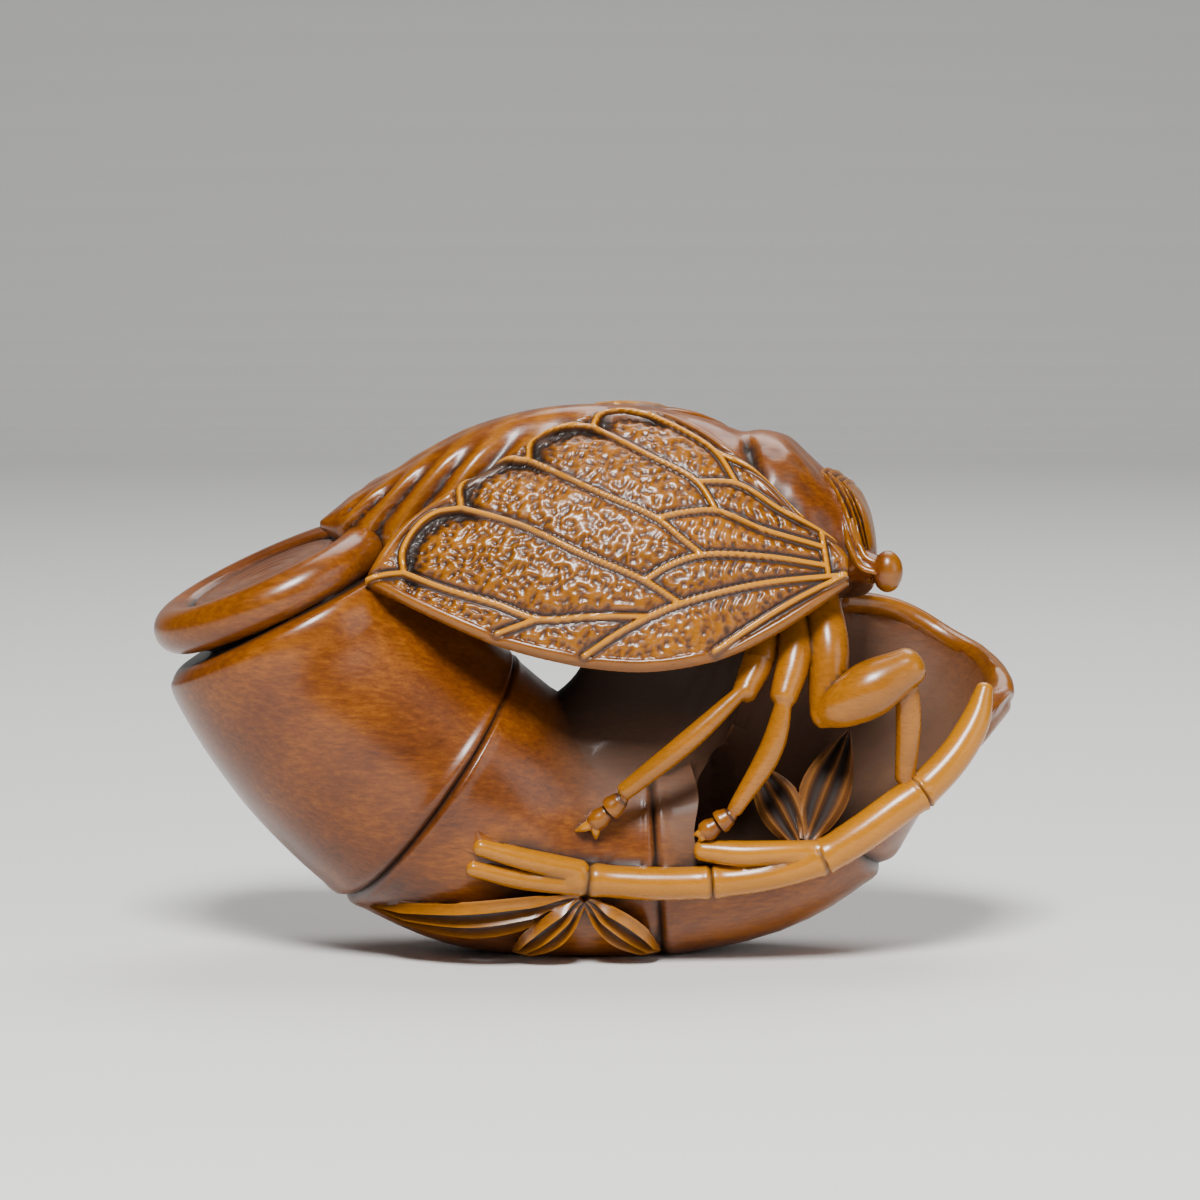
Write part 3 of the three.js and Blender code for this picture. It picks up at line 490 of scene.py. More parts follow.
def on_insect(x, sideways, z):
    """A point at X, beside the insect's mid plane and up it until its height is z on that plane."""
    up = (z - CREST[2]) / UPWARDS[2]
    origin = np.stack([x, 0 * x, 0 * x + CREST[2]], -1)
    return origin + up[..., None] * UPWARDS + sideways[..., None] * SIDEWAYS


def scattered(p, q, pitch, seed):
    """Distances, in pitches, to the nearest and the next of dots scattered one to a square cell: the least
    and the second least over a cell and the eight round it."""
    offsets = np.random.default_rng(seed).random((DOT_CELLS, DOT_CELLS, 2))
    cell_p, cell_q = np.floor(p / pitch).astype(int), np.floor(q / pitch).astype(int)
    nearest, second = np.full(p.shape, 9.0), np.full(p.shape, 9.0)
    for i in (-1, 0, 1):
        for j in (-1, 0, 1):
            offset = offsets[(cell_p + i) % DOT_CELLS, (cell_q + j) % DOT_CELLS]
            gap = np.hypot(cell_p + i + offset[..., 0] - p / pitch, cell_q + j + offset[..., 1] - q / pitch)
            second = np.minimum(second, np.maximum(nearest, gap))
            nearest = np.minimum(nearest, gap)
    return nearest, second


def body_relief(x, angle):
    """What is carved on the body, in millimetres above its plain outline, how dark its crevices are and how
    rubbed its ridges. The lobes of the abdomen are half waves, the collar is a cosine, the furrow and the pit
    of the cheek are bells, and the thorax has scattered dents."""
    flank = np.abs(np.sin(angle))
    from_crest = np.abs((angle + np.pi) % (2 * np.pi) - np.pi)
    upper = 1 - ramp(from_crest, 1.7, 2.1)
    ring_at = SEGMENTS * (x + RING_SLANT * ramp(from_crest, 0.2, 1.6) - TAIL_X) / (WAIST_X - TAIL_X)
    tail = ramp(x, TAIL_X, TAIL_X + 2) * (1 - ramp(x, WAIST_X - 2, WAIST_X + 1))
    lobe = np.sqrt(np.sin(np.pi * ring_at) ** 2 + 0.03) - 0.65
    lobes = tail * ramp(from_crest, 0.3, 0.75) * LOBE_DEPTH * 2 * lobe
    furrow = bump(x - FURROW_X - 0.9 * flank, FURROW_WIDTH) * ramp(from_crest, 0.1, 0.3)
    furrow = furrow * (1 - ramp(from_crest, 0.8, 1.1))
    pitch = COLLAR_PITCH[0] + (COLLAR_PITCH[1] - COLLAR_PITCH[0]) * ramp(from_crest, 0.1, 1.3)
    drift = COLLAR_DRIFT * np.minimum(from_crest, 2) + COLLAR_SWEEP * np.clip(from_crest - 1.05, 0, 1) ** 2
    phase = (x - COLLAR_X - drift) / pitch
    inside = ramp(phase, -0.5, -0.1) * (1 - ramp(phase, COLLAR_RIDGES - 0.9, COLLAR_RIDGES - 0.5)) * upper
    ridge = inside * np.cos(2 * np.pi * phase)
    tuck = ramp(x, *TUCK_START) * (1 - ramp(x, *TUCK_END)) * ramp(from_crest, 0.12, 0.5)
    pit = bump(np.hypot((x - CHEEK_PIT[0]) / CHEEK_SIZE[0], (from_crest - CHEEK_PIT[1]) / CHEEK_SIZE[1]), 1)
    chin = ramp(from_crest, 1.75, 2.15) * ramp(x, *CHIN_FROM)
    height = lobes - FURROW_DEPTH * furrow + COLLAR_HEIGHT * ridge - TUCK_DEPTH * tuck
    from_dot, _ = scattered(x + 0 * angle, angle * THORAX_RADIUS, DENT_PITCH, DENT_SEED)
    dent = 1 - ramp(from_dot, 0.1, 0.7)
    dent = dent * ramp(x, *DENT_START) * (1 - ramp(x, *DENT_END)) * ramp(from_crest, 0.05, 0.3)
    height = height - CHEEK_DEPTH * pit - CHIN_DEPTH * chin - DENT_DEPTH * dent
    valley = tail * ramp(from_crest, 0.3, 0.8) * ramp(-lobe, 0.1, 0.65)
    # crevices are darkened with dirt and painted shade, and the cut-back chin with painted shadow
    shade = 0.45 * valley + furrow + 0.85 * ramp(-ridge, 0.1, 0.9) + pit + 0.75 * chin + 0.4 * dent
    # the front of the head is painted lighter gold, partly as a painted highlight
    gold = 0.4 * ramp(ridge, 0.1, 0.8) + 0.25 * ramp(x, 21.5, 22.5) + 0.2 * tail * ramp(lobe, 0, 0.3)
    return height, np.clip(shade, 0, 1), gold * (1 - np.clip(shade, 0, 1))


body_stretches = [(BODY[0, 0], 12.0, 62), (12.0, 19.0, 26), (19.0, 23.7, 54), (23.7, BODY[-1, 0], 8)]
body_x = np.concatenate([np.linspace(a, b, n, endpoint=False) for a, b, n in body_stretches] + [BODY[-1:, 0]])
rows = np.interp(body_x, BODY[:, 0], np.arange(len(BODY)))
outline = smooth_line(BODY, rows)[0]
crest, belly, half, slant = (outline[:, k : k + 1] for k in range(1, 5))
body_angle = np.linspace(0, 2 * np.pi, BODY_SIDES, endpoint=False)[None, :]
relief, body_shade, body_gold = body_relief(outline[:, :1], body_angle)
middle, rise = (crest + belly) / 2, (crest - belly) / 2
body_rings = on_insect(
    outline[:, :1] + slant * np.abs(np.sin(body_angle)),
    (half + relief) * np.sin(body_angle),
    middle + (rise + relief) * np.cos(body_angle),
)
body = skin("body", body_rings, shade=body_shade, gold=body_gold)

# The eyes: an egg on a short stalk at each front corner of the head. Two fine ridges come down from the
# collar and turn along the near stalk.
EYES = [
    {"at": [24.9, -6.1, 32.6], "stalk": [[19.6, -3.6, 33.8], [24.4, -5.9, 32.9]]},
    {"at": [23.2, 7.1, 33.3], "stalk": [[19.0, 4.0, 34.2], [22.8, 6.8, 33.5]]},
]
EYE_RADIUS, EYE_TALL, STALK_RADII = 1.28, 1.35, [2.0, 0.9]
STALK_RIDGES = [
    [[21.4, -5.3, 36.4], [21.8, -5.9, 34.6], [22.7, -6.35, 33.0], [24.2, -6.75, 32.5]],
    [[22.0, -5.0, 36.8], [22.5, -5.5, 35.0], [23.1, -6.1, 33.75], [24.2, -6.5, 33.3]],
]
RIDGE_RADII = [0.16, 0.3, 0.32, 0.26]


def egg(name, centre, radius, tall, sides=28):
    """A ball as rings between two poles, drawn out upwards."""
    polar = np.linspace(0.02, np.pi - 0.02, sides // 2)
    profile = np.column_stack([radius * np.sin(polar), tall * radius * np.cos(polar)])
    return lathe(name, profile, np.array(centre), np.array([0, 0, 1.0]), sides)


eyes = []
for number, eye in enumerate(EYES):
    eyes.append(rod(f"eye_stalk_{number}", eye["stalk"], STALK_RADII, steps=8))
    eyes.append(egg(f"eye_{number}", eye["at"], EYE_RADIUS, EYE_TALL))
for number, ridge in enumerate(STALK_RIDGES):
    eyes.append(rod(f"stalk_ridge_{number}", ridge, RIDGE_RADII, sides=10, steps=18, gold=0.2))

# The wings: two shallow domes that meet along the crest like a roof. Raised veins part them into cells whose
# membrane is stippled with small pits.
WING_CENTRE = np.array([2.07, -6.2, 34.8])
WING_SLOPE = math.radians(29)
WING_RISE, WING_REACH_P, WING_REACH_Q = 3.8, 22.0, 13.5
WING_ROOT, WING_TIP = -19.6, 20.05
WING_EDGE, WING_SWELL = 0.5, 2.0
LOWER_EDGE = [
    [-19.6, -3.6], [-17.2, -5.7], [-13.0, -8.6], [-8.5, -10.6], [-3.0, -11.6],
    [3.0, -11.1], [9.0, -9.5], [15.5, -6.4], [20.3, -3.4],
]
UPPER_EDGE = [
    [-19.6, -1.4], [-18.6, -0.1], [-15.6, 2.1], [-12.3, 5.7], [-6.6, 10.8], [-1.6, 12.2],
    [4.1, 10.4], [8.6, 7.0], [13.2, 4.0], [17.6, 0.6], [20.3, -3.4],
]
VEIN_POINTS = {
    "tip": (20.0, -3.4), "loop1": (16.9, -3.1), "loop2": (12.2, 2.2), "loop3": (6.7, 6.5),
    "loop4": (1.4, 9.9), "crest": (-3.3, 11.3), "costa": (5.9, -7.6), "costa_out": (9.2, -8.6),
    "fork1": (-3.1, -7.5), "fork1_out": (2.1, -10.5), "fork2": (-5.7, -6.4), "fork3": (-2.8, -4.6),
    "fork4": (-7.5, -2.3), "fork5": (-3.8, 0.8), "fork6": (-8.7, 1.7), "fork7": (-7.1, 4.4),
    "fork8": (-10.4, 4.4), "fork9": (-8.7, 7.5),
    "root1": (-17.9, -3.3), "root2": (-17.6, -2.4), "root3": (-17.4, -0.8), "root4": (-17.3, 0.6),
    "root_out": (-19.3, -3.0), "shoulder": (-12.5, 5.4), "edge_out": (-8.5, -10.0),
}
VEINS = [  # each through named points and places of its own
    ["fork1", "fork2", (-12.0, -4.5), "root1", "root_out"],
    ["fork2", "fork3", (2.0, -2.5), (7.5, 0.4), "loop2"],
    ["fork5", (-6.0, 1.4), "fork6", (-12.4, 0.3), "root3"],
    ["tip", (18.6, -3.1), "loop1"],
    ["loop1", (17.0, -1.2), (15.8, 0.9), (14.2, 2.0), "loop2"],
    ["loop2", (12.3, 4.2), (11.0, 5.9), (8.7, 6.7), "loop3"],
    ["loop3", (6.5, 8.4), (4.9, 9.6), (2.8, 10.1), "loop4"],
    ["loop4", (0.9, 11.2), (-0.6, 11.8), "crest"],
    ["loop1", (13.6, -4.7), (9.2, -6.3), "costa", (1.4, -7.5), "fork1"],
    ["costa", "costa_out"],
    ["fork1", (-1.0, -8.6), "fork1_out"],
    ["fork3", (-4.8, -3.3), "fork4", (-12.5, -2.1), "root2"],
    ["fork4", (-5.8, -0.9), "fork5", (1.0, 3.2), "loop3"],
    ["fork6", "fork7", (-3.0, 7.0), "loop4"],
    ["fork7", "fork8", (-14.0, 2.2), "root4", (-18.9, -0.1)],
    ["fork8", "fork9", (-6.0, 9.7), "crest"],
    ["fork9", "shoulder", (-15.8, 1.8)],
    ["root4", "root1"],
    ["root_out", (-15.0, -5.6), "edge_out"],
]
VEIN_RISE = 0.3
VEIN_GROOVE, VEIN_GROOVE_AT, VEIN_GROOVE_WIDTH = 0.16, 0.18, 0.2
PILLOW_RISE, PILLOW_REACH = 0.25, 1.1
CELL_ENDS = [4, 5, 6, 7]  # the veins that close the outer ends of the cells
CELL_END_SHIFT, CELL_END_DEPTH, CELL_END_WIDTH = (-0.75, -0.65), 0.5, 0.7  # the hollows beside them, darkened with painted shade
PIT_STRAY = 0.22  # how far the pits stray from their square grid, in waves
PIT_PITCH, PIT_DEPTH, MEMBRANE_GOLD = 0.78, 0.17, 0.3
RIPPLE_PITCH, RIPPLE_DEPTH = 0.9, 0.08
RIM_ROUND, RIM_WIDTH, RIM_RISE = 0.5, 0.8, 0.16
BACK_LINES = [0.93, 0.75, 0.5, 0.25, 0.07]  # shares of the width where the wing's underside has its points


def on_wing(p, q, height):
    """A point on the near wing: a dome over a sloping plane. p runs to the tip, q up to the crest."""
    rise = WING_RISE * (1 - (p / WING_REACH_P) ** 2 - (q / WING_REACH_Q) ** 2) + height
    sin, cos = math.sin(WING_SLOPE), math.cos(WING_SLOPE)
    return WING_CENTRE + np.stack([-p, q * sin - rise * cos, q * cos + rise * sin], -1)


def drawn_line(points, per_point=8):
    """A line on the wing as many short straight stretches."""
    points = [VEIN_POINTS.get(point, point) if isinstance(point, str) else point for point in points]
    return smooth_line(points, np.linspace(0, len(points) - 1, per_point * (len(points) - 1) + 1))[0]


def distance_to(line, p, q):
    """Shortest distance from each (p, q) to a line: on each stretch, to the foot of the perpendicular, which
    is kept between the ends."""
    start, step = line[:-1], np.diff(line, axis=0)
    nearest = np.full(p.shape, np.inf)
    for (p0, q0), (dp, dq) in zip(start, step):
        share = np.clip(((p - p0) * dp + (q - q0) * dq) / (dp * dp + dq * dq), 0, 1)
        nearest = np.minimum(nearest, np.hypot(p - p0 - share * dp, q - q0 - share * dq))
    return nearest


def wing_relief(p, q, seed, vein_half):
    """Veins are round ridges between two narrow grooves; the membrane swells away from them and is pitted;
    the margin is a low rim that rounds off. Returns the height, the gold of the veins, the margin and the
    membrane between its pits, and the shade of the grooves, pits and hollows."""
    vein = np.min([distance_to(drawn_line(line), p, q) for line in VEINS], axis=0)
    edge = np.minimum(distance_to(drawn_line(LOWER_EDGE), p, q), distance_to(drawn_line(UPPER_EDGE), p, q))
    edge = np.minimum(edge, p - WING_ROOT)
    ridge = np.exp(-((vein / vein_half) ** 4))
    groove = bump(vein - vein_half - VEIN_GROOVE_AT, VEIN_GROOVE_WIDTH)
    pillow = PILLOW_RISE * (1 - np.exp(-vein / PILLOW_REACH))
    ends = np.min([distance_to(drawn_line(VEINS[k]) + CELL_END_SHIFT, p, q) for k in CELL_ENDS], axis=0)
    hollow = bump(ends, CELL_END_WIDTH) * ramp(vein, 0.3, 0.5)
    wander = PIT_STRAY * np.sin(2.3 * q + 1.1 * p), PIT_STRAY * np.sin(2.1 * p - 0.9 * q)
    nearest, second = scattered(p + wander[0], q + wander[1], PIT_PITCH, seed)
    small, _ = scattered(p, q, PIT_PITCH * 0.5, seed + 1)
    worms = 1 - ramp(second - nearest, 0.02, 0.3)
    pit = 0.75 * (1 - ramp(nearest, 0.1, 0.6)) + 0.35 * (1 - ramp(small, 0.1, 0.5)) - 0.35 * worms
    stippled = ramp(vein, 0.4, 0.8) * ramp(edge, RIM_WIDTH * 0.8, RIM_WIDTH * 1.3)
    base = 1 - ramp(p, -9.0, -4.0)
    ripple = base * np.sin(2 * np.pi * (p + 0.25 * np.sin(q * 2.1)) / RIPPLE_PITCH)
    rim = np.sqrt(np.clip(1 - ((edge - RIM_WIDTH / 2) / (RIM_WIDTH / 2)) ** 2, 0, 1))
    fall = RIM_ROUND - np.sqrt(np.clip(RIM_ROUND**2 - np.clip(RIM_ROUND - edge, 0, None) ** 2, 0, None))
    height = (
        VEIN_RISE * ridge
        - VEIN_GROOVE * groove * (1 - ridge)
        + pillow
        - CELL_END_DEPTH * hollow
        - PIT_DEPTH * pit * stippled * (1 - 0.6 * base)
        + RIPPLE_DEPTH * ripple * stippled
        + RIM_RISE * rim
        - fall
    )
    gold = np.maximum(0.9 * ramp(ridge, 0.15, 0.7), 0.12 * ramp(rim, 0.3, 0.9))
    gold = np.maximum(gold, MEMBRANE_GOLD * stippled * (1 - np.clip(pit, 0, 1)) * (1 - hollow))
    # painted shade in the grooves, pits and cell-end hollows; the ripple crests are painted lighter
    dark = 0.75 * groove * (1 - ridge) + 0.85 * hollow + stippled * (0.75 * np.clip(pit, 0, 1) - 0.3 * ripple)
    return height, gold, np.clip(dark, 0, 1) * (1 - gold)


def wing(along, across, seed, vein_half):
    """The face as a grid between the two margins, closed underneath by a few plain lines. Both ways the
    points crowd a little towards the margins, by a share of half a cosine wave."""
    share = np.linspace(0, 1, along)
    p = WING_ROOT + (WING_TIP - WING_ROOT) * (0.6 * share + 0.4 * (0.5 - 0.5 * np.cos(np.pi * share)))
    lower, upper = drawn_line(LOWER_EDGE, 40), drawn_line(UPPER_EDGE, 40)
    low = np.interp(p, lower[:, 0], lower[:, 1])[:, None]
    high = np.interp(p, upper[:, 0], upper[:, 1])[:, None]
    v = np.linspace(0, 1, across)
    v = (0.7 * v + 0.3 * (0.5 - 0.5 * np.cos(np.pi * v)))[None, :]
    q = low + (high - low) * v
    p = p[:, None] + 0 * q
    height, gold, shade = wing_relief(p, q, seed, vein_half)
    face = on_wing(p, q, height)
    back_v = np.array([BACK_LINES])
    swell = WING_SWELL * np.sqrt(np.sin(back_v * np.pi) * np.sin(share * np.pi)[:, None])
    back_q = low + (high - low) * back_v
    back = on_wing(p[:, :1] + 0 * back_q, back_q, -WING_EDGE - RIM_ROUND - swell)
    plain = np.zeros((along, back_v.shape[1]))
    return np.concatenate([face, back], axis=1), np.hstack([gold, plain]), np.hstack([shade, plain])


rings, gold, shade = wing(along=274, across=146, seed=11, vein_half=0.21)
near_wing = skin("near_wing", rings, gold=gold, shade=shade)
rings, gold, shade = wing(along=128, across=72, seed=23, vein_half=0.42)
across_mid = ((rings - CREST) @ SIDEWAYS)[..., None] * SIDEWAYS
far_wing = skin("far_wing", rings - 2 * across_mid, gold=gold, shade=shade)

# The legs: each is a bent rod in segments that swell at the joints, ending in small claws on the bamboo. They
# are carved from the same wood and cross the opening under the insect.
NEAR_LIMBS = [
    ([[14.8, -4.0, 29.6], [14.5, -7.2, 26.0], [13.1, -9.2, 23.0]], [1.0, 1.35, 1.05]),
    ([[13.2, -9.5, 23.4], [8.6, -10.2, 19.2], [3.3, -10.0, 14.9]], [0.6, 0.9, 0.78]),
    ([[16.9, -4.0, 30.2], [17.3, -7.4, 26.2], [16.3, -9.4, 22.6]], [1.1, 1.45, 1.15]),
    ([[16.5, -9.6, 23.0], [15.3, -9.7, 18.4], [12.3, -9.6, 13.3]], [0.65, 1.0, 0.65]),
    ([[19.4, -4.0, 30.6], [20.0, -6.8, 26.4], [19.9, -8.0, 21.0]], [1.5, 1.75, 1.45]),
    (
        [[19.4, -8.2, 20.9], [21.2, -8.9, 21.9], [23.4, -9.0, 23.2], [26.6, -8.6, 25.0]],
        [1.1, 1.95, 2.35, 1.65],
    ),
    ([[26.3, -8.4, 24.6], [26.6, -7.9, 20.5], [26.4, -6.9, 15.6]], [0.95, 1.05, 0.85]),
]
FAR_LIMBS = [
    ([[14.0, 8.0, 28.0], [12.5, 11.0, 25.5], [10.5, 12.2, 23.0]], [1.0, 1.3, 0.9]),
    ([[10.6, 12.2, 23.2], [5.0, 11.6, 18.0], [0.0, 10.4, 13.0]], [0.7, 0.85, 0.7]),
    ([[17.0, 8.0, 29.0], [17.3, 11.0, 26.8], [16.8, 12.6, 23.5]], [1.1, 1.4, 1.0]),
    ([[16.8, 12.6, 23.8], [15.6, 11.8, 19.0], [13.8, 9.9, 13.8]], [0.8, 0.95, 0.7]),
    ([[19.6, 7.5, 30.5], [20.8, 11.0, 29.6], [23.6, 12.6, 27.2]], [1.4, 1.7, 1.2]),
    ([[23.4, 12.4, 27.6], [24.6, 12.3, 23.0], [24.4, 11.6, 19.0]], [0.9, 1.0, 0.8]),
]
FEET = [  # where the foot leaves the leg, where its claws start and where their points are
    ([3.1, -9.9, 14.3], [0.9, -9.4, 12.3], [[-0.7, -9.2, 11.5], [0.9, -9.3, 10.9]]),
    ([12.0, -9.6, 12.9], [10.0, -9.4, 11.5], [[9.0, -9.3, 11.2], [9.4, -9.4, 10.7]]),
]
FOOT_CUPS, FOOT_RADII, CLAW_RADII = 2, [0.8, 0.62], [0.55, 0.42, 0.12]
CUP_FLARE, CUP_CUT = 0.26, 0.2
CLAW_BOW = 0.25  # how far the middle of a claw bows out to the front


def cups(at):
    """Each cup widens to its lower end in an S and starts from a narrow dark cut."""
    part = np.minimum(at * FOOT_CUPS, FOOT_CUPS - 0.02) % 1
    return CUP_FLARE * ramp(part, 0.15, 0.8) - CUP_CUT * bump(part, 0.12), 0.9 * bump(part, 0.16)


def foot(number, leg, root, points):
    """Cups that stand in each other, and two claws that part at the end."""
    parts = [rod(f"foot_{number}", [leg, root], FOOT_RADII, sides=16, steps=44, relief=cups, gold=0.05)]
    for n, point in enumerate(points):
        middle = (np.array(root) + point) / 2 - [0, CLAW_BOW, 0]
        line = [root, middle, point]
        parts.append(rod(f"claw_{number}_{n}", line, CLAW_RADII, sides=12, steps=10, gold=0.6))
    return parts


# the near legs are painted more golden, partly as rubbed wood and partly as painted highlight
limbs = [rod(f"near_limb_{n}", *limb, sides=20, steps=24, gold=0.28) for n, limb in enumerate(NEAR_LIMBS)]
limbs += [rod(f"far_limb_{n}", *limb, sides=14, steps=16) for n, limb in enumerate(FAR_LIMBS)]
for number, entry in enumerate(FEET):
    limbs += foot(number, *entry)

# The twig of young bamboo laid along the front, forked at its left end, with dark lines at its nodes. It is
# carved in high relief, and hands have rubbed it golden.
BRANCH = [
    [-1.2, -9.2, 7.6], [5.4, -8.9, 7.1], [10.4, -8.6, 7.2], [15.2, -8.6, 7.8], [19.5, -8.4, 9.2],
    [22.6, -8.1, 11.0], [25.9, -7.4, 13.3], [28.0, -6.7, 14.7], [30.6, -5.6, 17.3], [32.3, -4.6, 20.0],
    [33.1, -4.0, 22.6],
]
BRANCH_RADII = [1.3, 1.4, 1.35, 1.3, 1.45, 1.55, 1.55, 1.5, 1.4, 1.25, 0.75]
BRANCH_NODES = [0.22, 2, 4, 6.8]  # in points of the line, as are the widths of their beads and cuts
BRANCH_BEAD, BRANCH_BEAD_WIDTH = 0.16, 0.15
BRANCH_CUT, BRANCH_CUT_WIDTH = 0.3, 0.035
BRANCH_CUT_SHADE, BRANCH_SHADE_WIDTH = 0.9, 0.04
TWIGS = [
    ([[-8.6, -10.8, 10.4], [-4.5, -10.2, 9.2], [-0.4, -9.5, 8.2]], [0.75, 0.95, 1.0]),
    ([[-9.2, -10.5, 8.6], [-5.3, -9.9, 7.6], [-0.4, -9.3, 7.0]], [0.7, 0.85, 0.9]),
    ([[9.6, -9.0, 9.9], [12.7, -9.2, 9.6], [16.0, -9.1, 9.7], [19.2, -8.7, 9.8]], [0.9, 1.1, 1.0, 0.9]),
]


def branch_nodes(at):
    """A narrow line cut round the twig at each node, in the middle of a low bead: both are bells."""
    relief, shade = 0 * at, 0 * at
    for node in BRANCH_NODES:
        away = at - node
        relief = relief + BRANCH_BEAD * bump(away, BRANCH_BEAD_WIDTH)
        relief = relief - BRANCH_CUT * bump(away, BRANCH_CUT_WIDTH)
        shade = shade + BRANCH_CUT_SHADE * bump(away, BRANCH_SHADE_WIDTH)
    return relief, shade


branch = [rod("branch", BRANCH, BRANCH_RADII, sides=20, steps=224, relief=branch_nodes, gold=0.5)]
branch += [rod(f"twig_{n}", *twig, sides=20, steps=24, gold=0.5) for n, twig in enumerate(TWIGS)]

# The leaves: narrow pointed blades with three raised ribs, that fan out from the twig's joints. They lie on
# the bamboo, carved from the same wood, and the two inside the scoop are dull.
LEAVES = [  # places along the blade, half its widest width, the way it faces, and how dull it is
    ([[-0.4, -9.0, 5.7], [-9.0, -9.2, 4.2], [-17.8, -5.0, 4.6]], 2.1, [-0.2, -0.7, -0.6]),
    ([[-0.2, -9.0, 5.6], [-3.0, -8.4, 2.9], [-6.0, -5.4, 0.9]], 1.7, [0, -0.75, -0.65]),
    ([[0.1, -9.0, 5.6], [3.2, -7.9, 3.0], [6.2, -5.0, 0.9]], 1.8, [0, -0.7, -0.7]),
    ([[17.8, -8.6, 10.2], [16.0, -6.2, 13.4], [14.0, -3.2, 16.4]], 1.9, [-0.2, -0.9, 0.4], 0.55),
    ([[18.2, -8.6, 10.6], [20.0, -5.2, 14.6], [22.0, -1.8, 18.9]], 2.1, [0.1, -0.9, 0.4], 0.55),
]
LEAF_THICK, LEAF_STALK, LEAF_POINT = 1.7, 0.1, 0.985  # thickness, and the share of a half wave it uses
LEAF_FLOOR, LEAF_RIB = 0.02, 0.56  # heights of the hollows and the ribs, as shares of the thickness
MID_RIB_WIDTH, SIDE_RIB_AT, SIDE_RIB_WIDTH = 0.13, 0.72, 0.17  # as shares of the half-width
RIBS_GROWN = 0.22  # the share of the length over which the ribs rise from the stalk
LEAF_UNDER = np.array([[0.3, 0.5, 0.3]])  # depths of the hidden underside, as shares of the thickness


def leaf(name, points, half, facing, dull=0.0):
    """A blade whose width is part of a half wave. Across it three rounded ribs, which are bells, stand over
    two hollows, and its edges round off by a sixth power."""
    share = np.linspace(0, 1, 38)
    place, heading = smooth_line(points, share * (len(points) - 1))
    out = np.array(facing) / np.linalg.norm(facing)
    side = np.cross(heading, out)
    side /= np.linalg.norm(side, axis=1, keepdims=True)
    width = half * np.sin(np.pi * (LEAF_STALK + (LEAF_POINT - LEAF_STALK) * share))[:, None]
    face = np.linspace(-1, 1, 21)[None, :]
    ribs = np.maximum(bump(face, MID_RIB_WIDTH), bump(np.abs(face) - SIDE_RIB_AT, SIDE_RIB_WIDTH))
    grown = ramp(share, 0, RIBS_GROWN)[:, None]
    top = LEAF_THICK * (LEAF_FLOOR + LEAF_RIB * ribs * grown) * (1 - np.abs(face) ** 6)
    under = np.array([[0.7, 0, -0.7]])
    u = np.hstack([face, under])
    h = np.hstack([top, -LEAF_THICK * LEAF_UNDER + 0 * width])
    fade = np.clip(width / half * 2.0, 0, 1)
    rings = place[:, None] + side[:, None] * (u * width)[..., None] + out * (h * fade)[..., None]
    # painted shade in the hollows between the ribs
    shade = np.hstack([(1 - ribs) * (1 - np.abs(face) ** 6), 0 * under]) + 0 * width
    return skin(name, rings, shade=shade, gold=0.3 * (1 - shade), dull=dull)


leaves = [leaf(f"leaf_{n}", *entry) for n, entry in enumerate(LEAVES)]

# The whole carving: everything above is one block, so the forms are joined into one closed skin and cut flat
# where it rests. The wood is rubbed smooth, so inside corners get a small fillet.
GROUND = 120.0  # the size of the cut that makes the flat


def block(name, low, high):
    """A box between two corners, for a flat cut."""
    x, y, z = zip(low, high)
    ring = np.array([[x[0], y[0]], [x[1], y[0]], [x[1], y[1]], [x[0], y[1]]])
    return skin(name, np.stack([np.column_stack([ring, np.full(4, height)]) for height in z]))


carving = culm
carving.name = carving.data.name = "cicada_carving"
for form in [rim_lip, body, near_wing, far_wing, *eyes, *limbs, *branch, *leaves]:
    combine(carving, form, "UNION")
combine(carving, block("ground", (-GROUND, -GROUND, -GROUND), (GROUND, GROUND, 0)), "DIFFERENCE")
carving.data.name = "cicada_carving"
mesh = carving.data

FILLET_SPREAD, FILLET_STEPS, DULL_FADE = 0.6, 5, 10  # the last is how many points far dullness spreads
SEAM_SHADE, SEAM_RINGS = 0.75, 8  # painted shade and dirt in a corner between two forms, and how far gold stays off it
SHORT_EDGE = 0.05 * MM  # keeps the weight of very short edges finite
WORN = [  # the middles of the places worn smooth: the scoop's tip, then three along the neck's root
    [35.4, 1.5, 22.2], [-4.5, -3.5, 20.0], [-1.5, -5.2, 18.6], [2.0, -6.0, 17.6],
]
WORN_REACH, WORN_STEPS = 3.0 * MM, 16
CELL = 0.4  # of the grid that measures hollows
FINE_REACH, BROAD_REACH = 3, 24  # rounds of blurring: the reach grows with their square root
# how dark the fine and broad hollows are painted, and how golden what stands proud becomes
FINE_DIRT_AND_SHADE, BROAD_PAINTED_SHADE, PROUD_GOLD = 0.9, 0.35, 0.4
SHARP = math.radians(50)  # edges bent more than this stay crisp

ends = np.empty((len(mesh.edges), 2), np.int32)
mesh.edges.foreach_get("vertices", ends.ravel())
ends = np.concatenate([ends, ends[:, ::-1]])
count = len(mesh.vertices)
valence = np.bincount(ends[:, 0], minlength=count)


def around(values, weight=None):
    """The mean of the neighbours of each point, for each column, where each edge may have its own weight."""
    total = valence if weight is None else np.bincount(ends[:, 0], weight, count)
    far = values[ends[:, 1]] if weight is None else values[ends[:, 1]] * weight[:, None]
    return np.stack([np.bincount(ends[:, 0], column, count) for column in far.T], -1) / total[:, None]


def read(name):
    """One mark of every point."""
    values = np.empty(count, np.float32)
    mesh.attributes[name].data.foreach_get("value", values)
    return values


